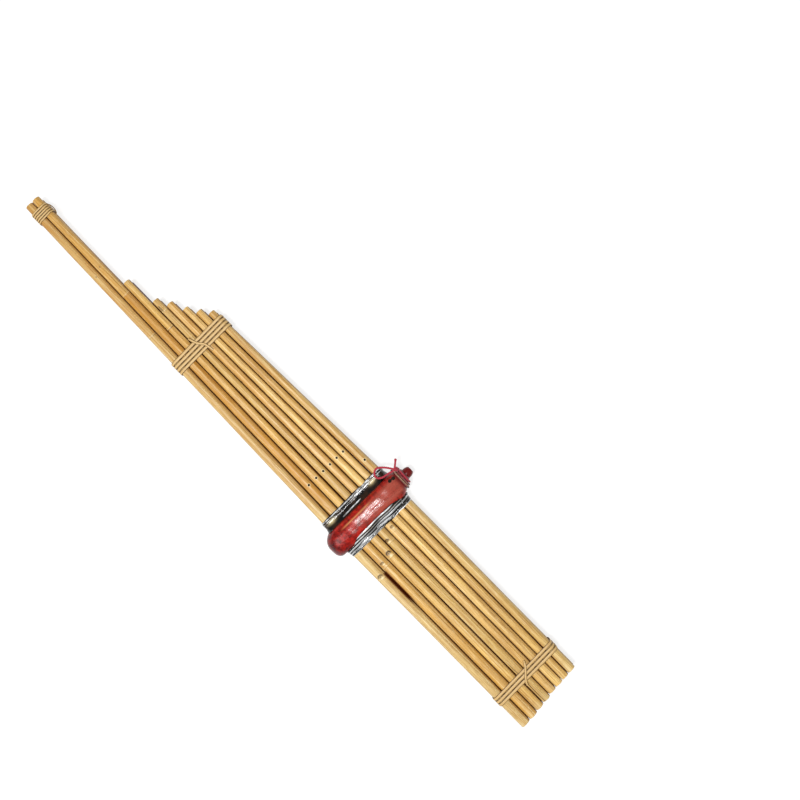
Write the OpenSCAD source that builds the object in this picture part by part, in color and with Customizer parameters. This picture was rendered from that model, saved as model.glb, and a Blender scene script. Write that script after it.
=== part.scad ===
// Khene: a free-reed mouth organ of bamboo pipes through a carved wooden chest.
// Sizes in millimetres. X runs towards the mouth end, Y towards the pipe tops, Z up from the rest face.
// The left row of pipes faces up (+Z) and the right row faces down (-Z). Pipe 1 is nearest the mouth.

/* [Pipes] */
// Outside diameter below the chest, pipes 1 to 8
low_d = [9.9, 9.0, 9.7, 9.6, 10.2, 10.4, 10.9, 11.3]; // [8.4:0.1:12.5]
// Outside diameter at the middle binding, pipes 1 to 8
mid_d = [8.0, 7.9, 7.5, 8.6, 8.1, 8.8, 9.8, 10.1]; // [7:0.1:11]
// Height of the longest pipes' tops above the chest's centre
longest_top = 478; // [430:1:560]
// How far each pipe's top lies below that, pipes 1 to 8
top_drop = [213, 203, 191, 176, 163, 128, 0, 0]; // [0:1:230]
// Depth of the deepest foot below the chest's centre
deepest_foot = 272.7; // [240:0.1:320]
// How far each pipe's foot lies above that, pipes 1 to 8
foot_rise = [6.7, 5.7, 5.2, 4.7, 3.1, 2, 0.5, 0]; // [0:0.1:10]
// How much shorter the right row's tops are
right_row_short = 3; // [0:0.5:6]
// Thickness of the bamboo wall
wall = 1.6; // [1.3:0.1:2]
// Air gap between neighbours in a row
pipe_gap = 0.4; // [0.3:0.1:0.6]
// Air gap between the two rows
row_gap = 0.4; // [0.3:0.1:0.8]
// How far the pack leans to the left at the middle binding
mid_lean = 0.8; // [0:0.1:2]
// Rounding of the cut edge at the pipe tops
top_edge = 0.7; // [0.3:0.1:1]

/* [Bamboo joints] */
// Depth of the first joint below the chest's centre, pipes 1 to 8
joint_y = [17, 19.5, 26, 32.4, 38, 49.6, 52.8, 59]; // [16:0.1:80]
// Length of cane between two joints, pipes 1 to 8
internode = [340, 340, 340, 340, 338, 332.6, 392.8, 349]; // [320:1:400]
// How far a joint stands proud of the pipe
joint_swell = 0.13; // [0.05:0.01:0.14]
// Length of the swelling at a joint
joint_l = 2; // [1:0.1:3]
// How far the right row's joints sit below the left row's
right_joint_drop = 9; // [5:1:20]

/* [Holes in the pipes] */
// Diameter of a finger hole
finger_d = 2.4; // [2:0.1:3]
// Height of the finger holes of pipes 2 to 8
finger_y = 64; // [50:1:80]
// Height of the thumb holes of pipe 1
thumb_y = 42; // [34:1:48]
// Angle of the holes towards the mouth end
finger_lean = 12; // [0:1:20]
// Distance from a pipe's top down to its upper tuning slot, pipes 1 to 8
slot_drop = [40, 35, 30.5, 26, 21, 23, 46.75, 24.25]; // [18:0.25:60]
// Share of the sounding length that lies below the reed
reed_share = 0.25; // [0.2:0.01:0.3]
// Length of a tuning slot
tuning_l = 9; // [5:1:12]
// Width of a tuning slot
tuning_w = 2.6; // [2:0.1:3]

/* [Wind chest] */
// From the origin to the closed end
closed_end = 55.2; // [54:0.1:60]
// From the origin to the shoulder at the mouth end
mouth_end = 56.6; // [56:0.1:60]
// Half depth of the carved form across the rows, before its back is flattened
chest_half_z = 23.6; // [22.8:0.1:26]
// How much the back is flattened to rest on
back_flat = 0.6; // [0.4:0.1:1]
// Crown of the carved form towards the pipe tops
crown_top = 15.2; // [14.8:0.1:17]
// Crown of the carved form towards the feet
crown_foot = 15.6; // [15:0.1:17]
// Height of the flat land where the upper wax sits
land_top = 13.4; // [12.5:0.1:14]
// Depth of the flat land where the lower wax sits
land_foot = 13.9; // [12.5:0.1:14.2]
// Where the round closed end begins
round_x = 36; // [32:1:38]
// Where the mouth end begins to fall away above
fall_top_x = 42; // [40:0.5:44]
// Where the mouth end begins to fall away below
fall_foot_x = 40; // [38:0.5:42]
// How much the mouth end has fallen away above, at the mouth
fall_top = 6.75; // [5:0.05:8]
// How much the mouth end has fallen away below, at the mouth
fall_foot = 10.7; // [9:0.05:10.7]
// Free space between the pipes and the front and back of the slot
slot_side = 3; // [2.5:0.1:3.5]
// Free space between the pipes and the ends of the slot, as a share of that
slot_end_share = 0.4; // [0.3:0.05:0.5]
// Diameter of the round mouthpiece at its root
knob_d = 11.5; // [10:0.1:11.6]
// Length of the mouthpiece beyond the shoulder
knob_l = 7.4; // [6:0.1:9]
// Diameter of the mouth hole through it
mouth_d = 5.4; // [4.6:0.1:5.8]
// Height of the mouth hole above the chest's centre
mouth_y = 0.9; // [0.8:0.05:1.5]

/* [Wax] */
// Top of the upper wax above the chest's centre
wax_top = 26; // [24:0.5:29]
// Bottom of the lower wax below the chest's centre
wax_foot = 22; // [20:0.5:24]
// How far the wax reaches into the slot
wax_plug = 3.6; // [3:0.1:4]
// Foot of the wax on the land, beyond the pipes, front and back
wax_spread = 4.6; // [4:0.1:5]
// The same at the ends of the rows, as a share of that
wax_end_share = 0.5; // [0.4:0.05:0.6]
// Thickness of the wax at its rim
wax_rim = 0.9; // [0.7:0.1:1.5]
// Height of the finger ridges pressed along the lower wax
wax_ridge = 0.55; // [0.2:0.05:0.8]
// Number of those ridges
wax_ridges = 3; // [2:1:4]
// Where the lower wax begins on the chest's front, below its centre
lap_y = 8.9; // [8:0.1:11]
// How much lower it begins on the chest's back
lap_back = 1.6; // [1:0.1:3]
// Thickness of the wax on the chest
lap_t = 1; // [0.6:0.1:1.2]
// Clearance between the wax and a pipe or the chest
wax_clear = 0.3; // [0.25:0.05:0.4]
// Clearance between the wax plug and the slot
plug_clear = 0.2; // [0.1:0.05:0.4]

/* [Reeds] */
// Length of the shortest tongue, on pipe 1
tongue_short = 9; // [8:0.1:10]
// Length of the longest tongue, on pipe 8
tongue_long = 13; // [11:0.1:14]
// Width of a tongue
tongue_w = 1.5; // [1.2:0.1:1.8]
// Thickness of a tongue
tongue_t = 0.2; // [0.15:0.05:0.3]
// Slit between a tongue and its plate
tongue_slit = 0.12; // [0.08:0.01:0.2]
// Metal beyond each end of the tongue
plate_end = 1.4; // [1:0.1:1.6]
// Metal beside the tongue
plate_side = 0.95; // [0.8:0.05:1.1]
// Thickness of a reed plate
plate_t = 0.5; // [0.4:0.05:0.6]
// Depth of the flat that is cut on a pipe for its plate
seat_deep = 0.8; // [0.6:0.05:1]
// Free edge of that flat round the plate
seat_edge = 0.2; // [0.1:0.05:0.3]
// Free space for the tongue in the slot through the pipe wall
window_edge = 0.35; // [0.3:0.05:0.5]

/* [Cane bindings] */
// Thickness of the split cane
cane_t = 1; // [0.8:0.1:1.3]
// Gap between the cane and the pipes
cane_clear = 0.3; // [0.2:0.05:0.4]
// Width of the cane of the top binding
top_cane_w = 2.1; // [1.8:0.1:2.2]
// Turns of the top binding
top_turns = 5; // [3:1:6]
// Pitch of the top binding
top_pitch = 2.65; // [2.65:0.05:3]
// Distance from the pipe tops to the top binding
top_bind_drop = 23; // [20:0.5:40]
// Width of the cane of the middle and foot bindings
cane_w = 3.2; // [2.8:0.1:3.4]
// Pitch of the middle and foot bindings
cane_pitch = 4.1; // [4:0.05:5]
// Distance from the lowest tops down to the middle binding
mid_bind_drop = 25; // [24:0.5:45]
// Turns of the middle binding
mid_turns = 4; // [2:1:4]
// Distance from the feet of pipe 1 to the foot binding
foot_bind_rise = 26; // [18:1:60]
// Turns of the foot binding
foot_turns = 3; // [2:1:5]

/* [Red cord] */
// Diameter of the cord
cord_d = 2; // [1.6:0.1:2]
// Pitch of its turns round the neck
cord_pitch = 2.45; // [2.45:0.05:2.8]
// Where the first turn lies
cord_x = 48; // [47:0.1:48]
// Number of turns
cord_turns = 3; // [2:1:3]
// Gap between the cord and the wood
cord_clear = 0.2; // [0.1:0.05:0.3]
// Angle round the neck where its turns start
cord_start = 100; // [80:1:120]

/* [Hidden] */
$fn = 48;
pipes = len(low_d);
sides = [["left", 1], ["right", -1]];

bamboo = "#D9B36C";
lacquer = "#9C2A20";
black_wax = "#17181A";
cane = "#CFAE6B";
red = "#B3202E";
brass = "#C9A24A";

last = pipes - 1;
top_y = [for (d = top_drop) longest_top - d];
foot_y = [for (r = foot_rise) deepest_foot - r];
mid_y = min(top_y) - mid_bind_drop;
chest_z = chest_half_z - back_flat;
// The pipes bend by a degree or so inside the upper wax, where the upper length is a little thinner
bend_y = land_top - wax_plug / 2;
bend_step = 0.3;

function total(list, n) = n <= 0 ? 0 : list[n - 1] + total(list, n - 1);
function row_w(d) = total(d, pipes) + last * pipe_gap;
function row_x(d, i) = row_w(d) / 2 - total(d, i) - i * pipe_gap - d[i] / 2;
function row_z(d, i, s) = chest_z + s * (row_gap + d[i]) / 2;
function low_at(i, s, y) = [row_x(low_d, i), y, row_z(low_d, i, s)];
function mid_at(i, s) = [row_x(mid_d, i) - mid_lean, mid_y, row_z(mid_d, i, s)];
function rise(y) = (y - bend_y) / (mid_y - bend_y);
function up_at(i, s, y) = low_at(i, s, bend_y) + (mid_at(i, s) - low_at(i, s, bend_y)) * rise(y);
function axis_at(i, s, y) = y < bend_y ? low_at(i, s, y) : up_at(i, s, y);
function low_r(i) = low_d[i] / 2;
function up_r(i, y) = low_r(i) - bend_step / 2 + (mid_d[i] / 2 - low_r(i) + bend_step / 2) * rise(y);
function pipe_r(i, y) = y < bend_y ? low_r(i) : up_r(i, y);
function pipe_top(i, s) = top_y[i] - (s < 0 ? right_row_short : 0);
function unit(v) = v / norm(v);

// A closed skin over equal rings of points; each end is filled across, first point to last and so on
module skin(rings) {
  n = len(rings[0]);
  m = len(rings);
  points = [for (r = rings, p = r) p];
  walls = [
    for (i = [0:m - 2], j = [0:n - 1], half = [0, 1])
      let (a = i * n + j, b = i * n + (j + 1) % n)
        half == 0 ? [a, b, b + n] : [a, b + n, a + n]
  ];
  across = [
    for (j = [0:n / 2 - 2], half = [0, 1])
      half == 0 ? [j, j + 1, n - 2 - j] : [j, n - 2 - j, n - 1 - j]
  ];
  first = [for (f = across) [f[0], f[2], f[1]]];
  end = [for (f = across) [for (k = f) (m - 1) * n + k]];
  polyhedron(points = points, faces = concat(walls, first, end), convexity = 8);
}

// Rings of a section carried along a path; each hint is the way the section's second axis faces
function tangent(path, i) = unit(path[min(i + 1, len(path) - 1)] - path[max(i - 1, 0)]);
function ring(p, t, hint, section) =
  let (w = unit(cross(t, hint)), n = cross(w, t))
    [for (q = section) p + q[0] * w + q[1] * n];
function sweep(path, hints, section) =
  [for (i = [0:len(path) - 1]) ring(path[i], tangent(path, i), hints[i], section)];
function round_section(d, n) = [for (k = [0:n - 1]) d / 2 * [cos(360 * k / n), sin(360 * k / n)]];
function strip_section(w, t) =
  [[w / 2, 0], [w / 3, t / 2], [-w / 3, t / 2], [-w / 2, 0], [-w / 3, -t / 2], [w / 3, -t / 2]];

// The least clear gap of a winding to itself, measured between its points half a turn or more apart
function self_gap(path, apart, w) =
  min([for (i = [0:len(path) - 1 - apart], j = [i + apart:len(path) - 1]) norm(path[i] - path[j])]) - w;

// A loop of a winding has 24 rings, a quarter of them round each corner
loop_rings = 24;
arc_points = loop_rings / 4;
half_loop = loop_rings / 2;

// The taut outline round pipes a and b of both rows, as [x, z, facing x, facing z] points going clockwise
function corner(i, s, y) = [axis_at(i, s, y).x, axis_at(i, s, y).z, pipe_r(i, y)];
function corners(a, b, y) = [corner(a, 1, y), corner(b, 1, y), corner(b, -1, y), corner(a, -1, y)];
function facing(p, q) =
  let (d = [q[0] - p[0], q[1] - p[1]])
    atan2(d[1], d[0]) + acos((p[2] - q[2]) / norm(d));
function less_than(a, b) = a - (((a - b) % 360 + 360) % 360);
function outline(c, grow, side_share = 1) =
  [
    for (k = [0:3])
      let (from = facing(c[(k + 3) % 4], c[k]), to = less_than(from, facing(c[k], c[(k + 1) % 4])))
        for (j = [0:arc_points - 1])
          let (a = from + (to - from) * j / (arc_points - 1))
            [
              c[k][0] + (c[k][2] + grow * side_share) * cos(a),
              c[k][1] + (c[k][2] + grow) * sin(a),
              cos(a),
              sin(a)
            ]
  ];
function flat(p) = [p[0], p[1]];
function stretch(o, i) = norm(flat(o[(i + 1) % len(o)]) - flat(o[i % len(o)]));
function run(o) = [for (i = 0, s = 0; i <= len(o); s = s + stretch(o, i), i = i + 1) s];

// The wind chest's carved form: how its outline bends towards its ends, and how square its section is
below_round = 3.6;
above_fall = 1.3;
closed_round = 3.2;
closed_blunt = 0.45;
mouth_round = 3.4;
mouth_reach = 1.06;
end_square = 2.2;
middle_square = 3.3;
function past_round(x) = (-x - round_x) / (closed_end - round_x);
function past_fall(x, from) = (x - from) / (mouth_end - from);

// Its crowns above and below its middle line, its half depth, and its squareness at x
function crown_above(x) =
  x < -round_x ? crown_top * sqrt(max(0, 1 - pow(past_round(x), 2)))
  : x > fall_top_x ? crown_top - fall_top * pow(past_fall(x, fall_top_x), above_fall)
  : crown_top;
function crown_below(x) =
  x < -round_x ? crown_foot * pow(max(0, 1 - pow(past_round(x), below_round)), 1 / below_round)
  : x > fall_foot_x ? crown_foot - fall_foot * past_fall(x, fall_foot_x)
  : crown_foot;
function half_deep(x) =
  x < 0 ? chest_half_z * pow(max(0, 1 - pow(-x / closed_end, closed_round)), closed_blunt)
  : chest_half_z * sqrt(1 - pow(x / (mouth_end * mouth_reach), mouth_round));
function square(x) = middle_square - (middle_square - end_square) * pow(abs(x) / mouth_end, 4);
function power(v, n) = sign(v) * pow(abs(v), n);
function form_at(x, a) =
  [
    x,
    (sin(a) > 0 ? crown_above(x) : crown_below(x)) * power(sin(a), 2 / square(x)),
    chest_z + half_deep(x) * power(cos(a), 2 / square(x))
  ];

// A point that far off the form, and the way out there
slope_step = 0.5;
function off_form(x, a, away) =
  let (
    p = form_at(x, a),
    q = form_at(x + slope_step, a),
    h = sin(a) > 0 ? crown_above(x) : crown_below(x),
    e = 2 - 2 / square(x),
    n = unit([0, power(sin(a), e) / h, power(cos(a), e) / half_deep(x)]),
    slope = (q - p) * n / slope_step
  )
    [p + n * away * sqrt(1 + slope * slope), n];

// The form's rings: close together at its ends, where it rounds off
chest_sides = 36;
end_rings = 8;
middle_rings = 5;
first_angle = 5;
chest_x = concat(
  [
    for (k = [0:end_rings])
      -round_x - (closed_end - round_x) * cos(first_angle + (90 - first_angle) * k / end_rings)
  ],
  [for (k = [1:middle_rings]) -round_x + (round_x + fall_foot_x) * k / middle_rings],
  [for (k = [1:end_rings]) fall_foot_x + (mouth_end - fall_foot_x) * k / end_rings]
);
function turn(share) = 360 * share;
function form_ring(x) =
  [for (k = [0:chest_sides - 1]) form_at(x, turn((k + 0.5) / chest_sides))];

// The height of the front pipes' faces at x, on a line from the outer one at each end
function front_z(c, x) =
  let (from = c[0][1] + c[0][2], to = c[1][1] + c[1][2])
    from + (to - from) * (x - c[0][0]) / (c[1][0] - c[0][0]);
low_corners = corners(last, 0, 0);
slot_outline = [for (p = outline(low_corners, slot_side, slot_end_share)) flat(p)];

// A prism along Y with an outline of x, z points
module along_y(from, to) {
  translate([0, to, 0])
    rotate([90, 0, 0])
      linear_extrude(height = to - from)
        children();
}

// The mouthpiece: a blunt dome turned about the mouth hole's line, rooted in the shoulder
knob_root = 2;
knob_steps = 7;
knob_reach = 0.88;
knob_bend = 2.8;
knob_blunt = 2.2;
function knob_r(share) = knob_d / 2 * pow(1 - pow(knob_reach * share, knob_bend), 1 / knob_blunt);
module along_mouth(x) {
  translate([x, mouth_y, chest_z])
    rotate([0, 90, 0])
      children();
}
module mouthpiece() {
  along_mouth(mouth_end)
    rotate_extrude()
      polygon(concat(
        [[0, -knob_root], [knob_d / 2, -knob_root]],
        [for (k = [0:knob_steps]) [knob_r(k / knob_steps), knob_l * k / knob_steps]],
        [[0, knob_l]]
      ));
}

module wind_chest() {
  color(lacquer)
    difference() {
      union() {
        intersection() {
          skin([for (x = chest_x) form_ring(x)]);
          translate([-closed_end - 1, -land_foot, 0])
            cube([closed_end + mouth_end + 2, land_foot + land_top, 2 * chest_half_z]);
        }
        mouthpiece();
      }
      along_y(-crown_foot, crown_top)
        polygon(slot_outline);
      along_mouth(row_w(low_d) / 2)
        cylinder(h = mouth_end, d = mouth_d);
    }
}

// The pipes' holes through the wax, in x, z
module pipe_shapes() {
  for (i = [0:last], s = [1, -1])
    translate([row_x(low_d, i), row_z(low_d, i, s)])
      circle(r = low_r(i) + wax_clear);
}

// A collar of wax from the land to its rim, with a plug in the slot; y points away from the chest
module wax(land, rim, spreads) {
  steps = len(spreads) - 1;
  difference() {
    union() {
      skin([
        for (k = [steps:-1:0], y = land + (rim - land) * k / steps)
          [for (p = outline(low_corners, spreads[k], wax_end_share)) [p[0], y, p[1]]]
      ]);
      along_y(land - wax_plug, land + 1)
        polygon([for (p = outline(low_corners, slot_side - plug_clear, slot_end_share)) flat(p)]);
    }
    along_y(land - wax_plug - 1, rim + 1)
      pipe_shapes();
  }
}

// How far the wax spreads, from the land, s = 0, to its rim, s = 1
upper_steps = 9;
lower_steps = 4 * wax_ridges;
rim_swell = 0.3;
fillet_bend = 2.2;
function fillet(s) = wax_rim + (wax_spread - wax_rim) * pow(1 - s, fillet_bend);
function swell(s) = s > 0.75 && s < 0.95 ? rim_swell : 0;
function ridge(s) = wax_ridge * pow(sin(180 * wax_ridges * s), 2);
upper_spreads = [for (k = [0:upper_steps]) fillet(k / upper_steps) + swell(k / upper_steps)];
lower_spreads = [for (k = [0:lower_steps]) fillet(k / lower_steps) + ridge(k / lower_steps)];

// The lower wax laps over the edge of the land onto the chest: sections across that lap, from end to end
lap_short = 4;
lap_from = lap_short - round_x;
lap_to = fall_foot_x - lap_short;
lap_rings = 12;
lap_steps = 4;
lap_taper = 3;
lap_root = 1.3;
function lap_share(x) = abs(2 * x - lap_from - lap_to) / (lap_to - lap_from);
function lap_edge(x, lower) =
  lap_y + lower + (land_foot - lap_root - lap_y - lower) * pow(lap_share(x), lap_taper);
function angle_at(x, y) = -asin(pow(y / crown_below(x), square(x) / 2));
function lap_curve(x, lower, thick) =
  let (a = angle_at(x, lap_edge(x, lower)), b = angle_at(x, land_foot))
    [
      for (k = [0:lap_steps])
        off_form(x, a + (b - a) * k / lap_steps, wax_clear + thick * min(1, 0.2 + k / 2))[0]
    ];
function lap_section(x, lower) =
  let (
    under = lap_curve(x, lower, 0),
    z = min(front_z(low_corners, x) + slot_side + wax_clear, under[lap_steps].z - lap_t)
  )
    concat(
      lap_curve(x, lower, lap_t),
      [[x, -land_foot - lap_root, z], [x, -land_foot - wax_clear, z]],
      [for (k = [lap_steps:-1:0]) under[k]]
    );
module lap(lower) {
  skin([
    for (k = [lap_rings:-1:0])
      lap_section(lap_from + (lap_to - lap_from) * k / lap_rings, lower)
  ]);
}

module upper_wax() {
  color(black_wax)
    wax(land_top, wax_top, upper_spreads);
}
module lower_wax() {
  color(black_wax)
    union() {
      mirror([0, 1, 0])
        wax(land_foot, wax_foot, lower_spreads);
      lap(0);
      translate([0, 0, 2 * chest_z])
        mirror([0, 0, 1])
          lap(lap_back);
    }
}

// The bamboo pipes: each is a lower and an upper tube, turned about its own line, that join at the bend
// Half profile of a tube from y0 to y1, as [radius, y]: its bore, its wall with the joints on it, and its end's edge
function tube_profile(y0, y1, r0, r1, joints, edge) =
  let (slope = (r1 - r0) / (y1 - y0), h = joint_l / 2)
    concat(
      [[r0 - wall, 0], [r0, 0]],
      [
        for (y = joints) if (y > y0 + h && y < y1 - 4 * h)
          for (d = [-1, 0, 1]) [r0 + slope * (y + d * h - y0) + (d == 0 ? joint_swell : 0), y + d * h - y0]
      ],
      edge > 0 ? [[r1 - slope * edge, y1 - y0 - edge], [r1 - edge, y1 - y0]] : [[r1, y1 - y0]],
      [[r1 - wall, y1 - y0]]
    );
module tube(p, q, profile) {
  d = q - p;
  translate(p)
    rotate([0, acos(d.z / norm(d)), atan2(d.y, d.x)])
      rotate_extrude()
        polygon(profile);
}
function lower_joint(i, s) = -joint_y[i] - (s < 0 ? right_joint_drop : 0);
function upper_joint(i, s) = lower_joint(i, s) + internode[i];

// A hole from the pipe's axis out through its wall; turn 0 faces along Z, away from the other row
module finger_hole(i, s, y, turn) {
  translate(axis_at(i, s, y))
    rotate([0, turn, 0])
      cylinder(h = low_d[i], d = finger_d);
}

// The upper tuning slot lies below the pipe's top, and the lower one so that the reed gets its share
function upper_slot(i) = top_y[i] - slot_drop[i];
module tuning_slot(i, s, y) {
  p = axis_at(i, s, y);
  far = pipe_r(i, y) + 1;
  translate([p.x - tuning_w / 2, y - tuning_l / 2, s > 0 ? p.z - far : p.z])
    cube([tuning_w, tuning_l, far]);
}

function tongue_l(i) = tongue_short + (tongue_long - tongue_short) * i / last;
function seat_z(i, s) = row_z(low_d, i, s) + s * (low_r(i) - seat_deep);
plate_w = tongue_w + 2 * tongue_slit + 2 * plate_side;
function plate_l(i) = tongue_l(i) + 2 * plate_end + tongue_slit;
// A block on the pipe's reed face, from height a to height b above the seat
module reed_block(i, s, w, l, a, b) {
  z = seat_z(i, s) + s * (s > 0 ? a : b);
  translate([row_x(low_d, i) - w / 2, -l / 2, z])
    cube([w, l, b - a]);
}

module pipe(i, s) {
  foot = -foot_y[i];
  top = pipe_top(i, s);
  start = bend_y - 1;
  hole_y = i == 0 ? thumb_y : finger_y;
  hole_turn = i == last ? -90 : s > 0 ? finger_lean : 180 - finger_lean;
  color(bamboo)
    difference() {
      union() {
        tube(
          low_at(i, s, foot), low_at(i, s, bend_y),
          tube_profile(foot, bend_y, low_r(i), low_r(i), [lower_joint(i, s)], 0)
        );
        tube(
          up_at(i, s, start), up_at(i, s, top),
          tube_profile(start, top, up_r(i, start), up_r(i, top), [upper_joint(i, s)], top_edge)
        );
      }
      finger_hole(i, s, hole_y, hole_turn);
      tuning_slot(i, s, upper_slot(i));
      tuning_slot(i, s, -upper_slot(i) * reed_share / (1 - reed_share));
      reed_block(i, s, low_d[i], plate_l(i) + 2 * seat_edge, 0, seat_deep + 1);
      reed_block(i, s, tongue_w + 2 * window_edge, tongue_l(i) + 2 * window_edge, -low_r(i) + seat_deep, 1);
    }
}

// Each reed: a plate seated on the pipe, and a tongue that swings through it from its root
module reed_plate(i, s) {
  color(brass)
    difference() {
      reed_block(i, s, plate_w, plate_l(i), 0, plate_t);
      translate([0, -tongue_slit / 2, 0])
        reed_block(i, s, tongue_w + 2 * tongue_slit, tongue_l(i) + tongue_slit, -1, plate_t + 1);
    }
}
module reed_tongue(i, s) {
  color(brass)
    reed_block(i, s, tongue_w, tongue_l(i), (plate_t - tongue_t) / 2, (plate_t + tongue_t) / 2);
}

// A winding of turns round an outline, climbing evenly, with a straight stretch at each end
function wind(o, y, pitch, turns, start) =
  let (n = len(o), r = run(o))
    [
      for (m = [0:turns * n])
        let (k = (m + start) % n, laps = floor((m + start) / n) + (r[k] - r[start]) / r[n])
          [[o[k][0], y + pitch * laps, o[k][1]], [o[k][2], 0, o[k][3]]]
    ];
function with_ends(w, l, way = [0, 1, 0]) =
  let (n = len(w) - 1, a = unit(cross(way, w[0][1])), b = unit(cross(way, w[n][1])))
    concat([[w[0][0] - l * a, w[0][1]]], w, [[w[n][0] + l * b, w[n][1]]]);
function places(w) = [for (p = w) p[0]];
function hints(w) = [for (p = w) p[1]];
cane_off = cane_clear + cane_t / 2;

foot_bind_y = -foot_y[0] + foot_bind_rise;
top_bind_y = pipe_top(last, -1) - top_bind_drop + right_row_short;
top_bind_mid = top_bind_y + top_turns * top_pitch / 2;
// The bindings start and end at the back corner of the closed end
back_start = 3 * arc_points;
function binding(c, y, pitch, turns, w) =
  with_ends(wind(outline(c, cane_off), y, pitch, turns, back_start), w);
middle_turns = binding(corners(last, 0, mid_y - cane_w), mid_y, cane_pitch, mid_turns, cane_w);
foot_path = binding(low_corners, foot_bind_y, cane_pitch, foot_turns, cane_w);
top_path = binding(corners(last, last - 1, top_bind_mid), top_bind_y, top_pitch, top_turns, top_cane_w);

module middle_binding() {
  echo(middle_binding_gap = self_gap(places(middle_turns), half_loop, cane_w));
  color(cane)
    skin(sweep(places(middle_turns), hints(middle_turns), strip_section(cane_w, cane_t)));
}
module foot_binding() {
  echo(foot_binding_gap = self_gap(places(foot_path), half_loop, cane_w));
  color(cane)
    skin(sweep(places(foot_path), hints(foot_path), strip_section(cane_w, cane_t)));
}
module top_binding() {
  echo(top_binding_gap = self_gap(places(top_path), half_loop, top_cane_w));
  color(cane)
    skin(sweep(places(top_path), hints(top_path), strip_section(top_cane_w, cane_t)));
}

// A tuck: the cane's end crossing its own turns on the slant, down to the pipes on both sides
tuck_rings = 13;
tuck_ramp = 2 / tuck_rings;
tuck_w = 0.8 * cane_w;
tuck_past = 1.6 * cane_w;
module tuck(p, q, over_z) {
  path = [
    for (k = [0:tuck_rings])
      let (
        t = k / tuck_rings,
        at = p + (q - p) * t,
        lift = min(1, t / tuck_ramp, (1 - t) / tuck_ramp),
        low = t < 0.5 ? p.z : q.z
      )
        [at.x, at.y, low + (over_z - low) * lift]
  ];
  skin(sweep(path, [for (r = path) [0, 0, 1]], strip_section(tuck_w, cane_t)));
}
over = 2 * cane_clear + 1.5 * cane_t;
mid_corners = corners(last, 0, mid_y);
// The two pipes at the middle of the front row, between which the tucks cross
mid_left = pipes / 2;
mid_right = mid_left - 1;
function on_pipe(at, d, y) = [at.x, y, at.z + d / 2 + cane_off];
module middle_binding_tuck() {
  p = on_pipe(mid_at(mid_left, 1), mid_d[mid_left], mid_y + mid_turns * cane_pitch + tuck_past);
  q = on_pipe(mid_at(mid_right, 1), mid_d[mid_right], mid_y - tuck_past);
  color(cane)
    tuck(p, q, front_z(mid_corners, 0) + over);
}
module foot_binding_tuck() {
  y1 = foot_bind_y + foot_turns * cane_pitch + tuck_past;
  y2 = foot_bind_y - tuck_past;
  color(cane)
    tuck(
      on_pipe(low_at(mid_right, 1, y1), low_d[mid_right], y1),
      on_pipe(low_at(mid_left, 1, y2), low_d[mid_left], y2),
      front_z(low_corners, 0) + over
    );
}

// The red cord: turns round the neck, and a bow that lies on the chest
neck_sides = 6;
free_sides = 8;
neck_turns = [
  for (m = [0:loop_rings * cord_turns])
    let (x = cord_x + cord_pitch * m / loop_rings, a = cord_start + turn(m / loop_rings))
      off_form(x, a, cord_d / 2 + cord_clear)
];
neck_path = with_ends(neck_turns, cord_d, [-1, 0, 0]);
module neck_cord() {
  echo(neck_cord_gap = self_gap(places(neck_path), half_loop, cord_d));
  color(red)
    skin(sweep(places(neck_path), hints(neck_path), round_section(cord_d, neck_sides)));
}

// Route of the bow, by hand: from the neck round the loop, back over itself and out along the tail
bow_route = [
  [54.6, 10.6, 35.8], [52.5, 13, 36.6], [50, 17, 36.8], [47, 21, 36.5],
  [43, 25, 36], [39, 27, 35.6], [35, 25.5, 35.8], [33, 22, 36.4],
  [34, 18.5, 37.8], [38, 16, 38.9], [42, 15.2, 38.9], [46, 14.4, 38.6],
  [50, 13.4, 38.9], [53, 14, 39.2], [57, 17, 38], [61, 20.5, 36.5]
];
route_steps = 2;
// A smooth curve through the route's points, with some steps between each two
function blend(a, b, c, d, t) =
  0.5 * (2 * b + (c - a) * t + (2 * a - 5 * b + 4 * c - d) * t * t + (3 * b - a - 3 * c + d) * t * t * t);
function smooth(r, steps) =
  let (n = len(r) - 1)
    concat(
      [
        for (i = [0:n - 1], k = [0:steps - 1])
          blend(r[max(i - 1, 0)], r[i], r[i + 1], r[min(i + 2, n)], k / steps)
      ],
      [r[n]]
    );
module free_cord(route) {
  path = smooth(route, route_steps);
  skin(sweep(path, [for (p = path) [0, 0, 1]], round_section(cord_d, free_sides)));
}
module cord_bow() {
  color(red)
    free_cord(bow_route);
}

wind_chest();
upper_wax();
lower_wax();
top_binding();
middle_binding();
middle_binding_tuck();
foot_binding();
foot_binding_tuck();
neck_cord();
cord_bow();
for (s = sides, i = [1:pipes]) {
  pipe(i - 1, s[1]);
  reed_plate(i - 1, s[1]);
  reed_tongue(i - 1, s[1]);
}
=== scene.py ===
import math

import bmesh
import bpy
import numpy as np
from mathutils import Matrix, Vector, noise


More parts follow.
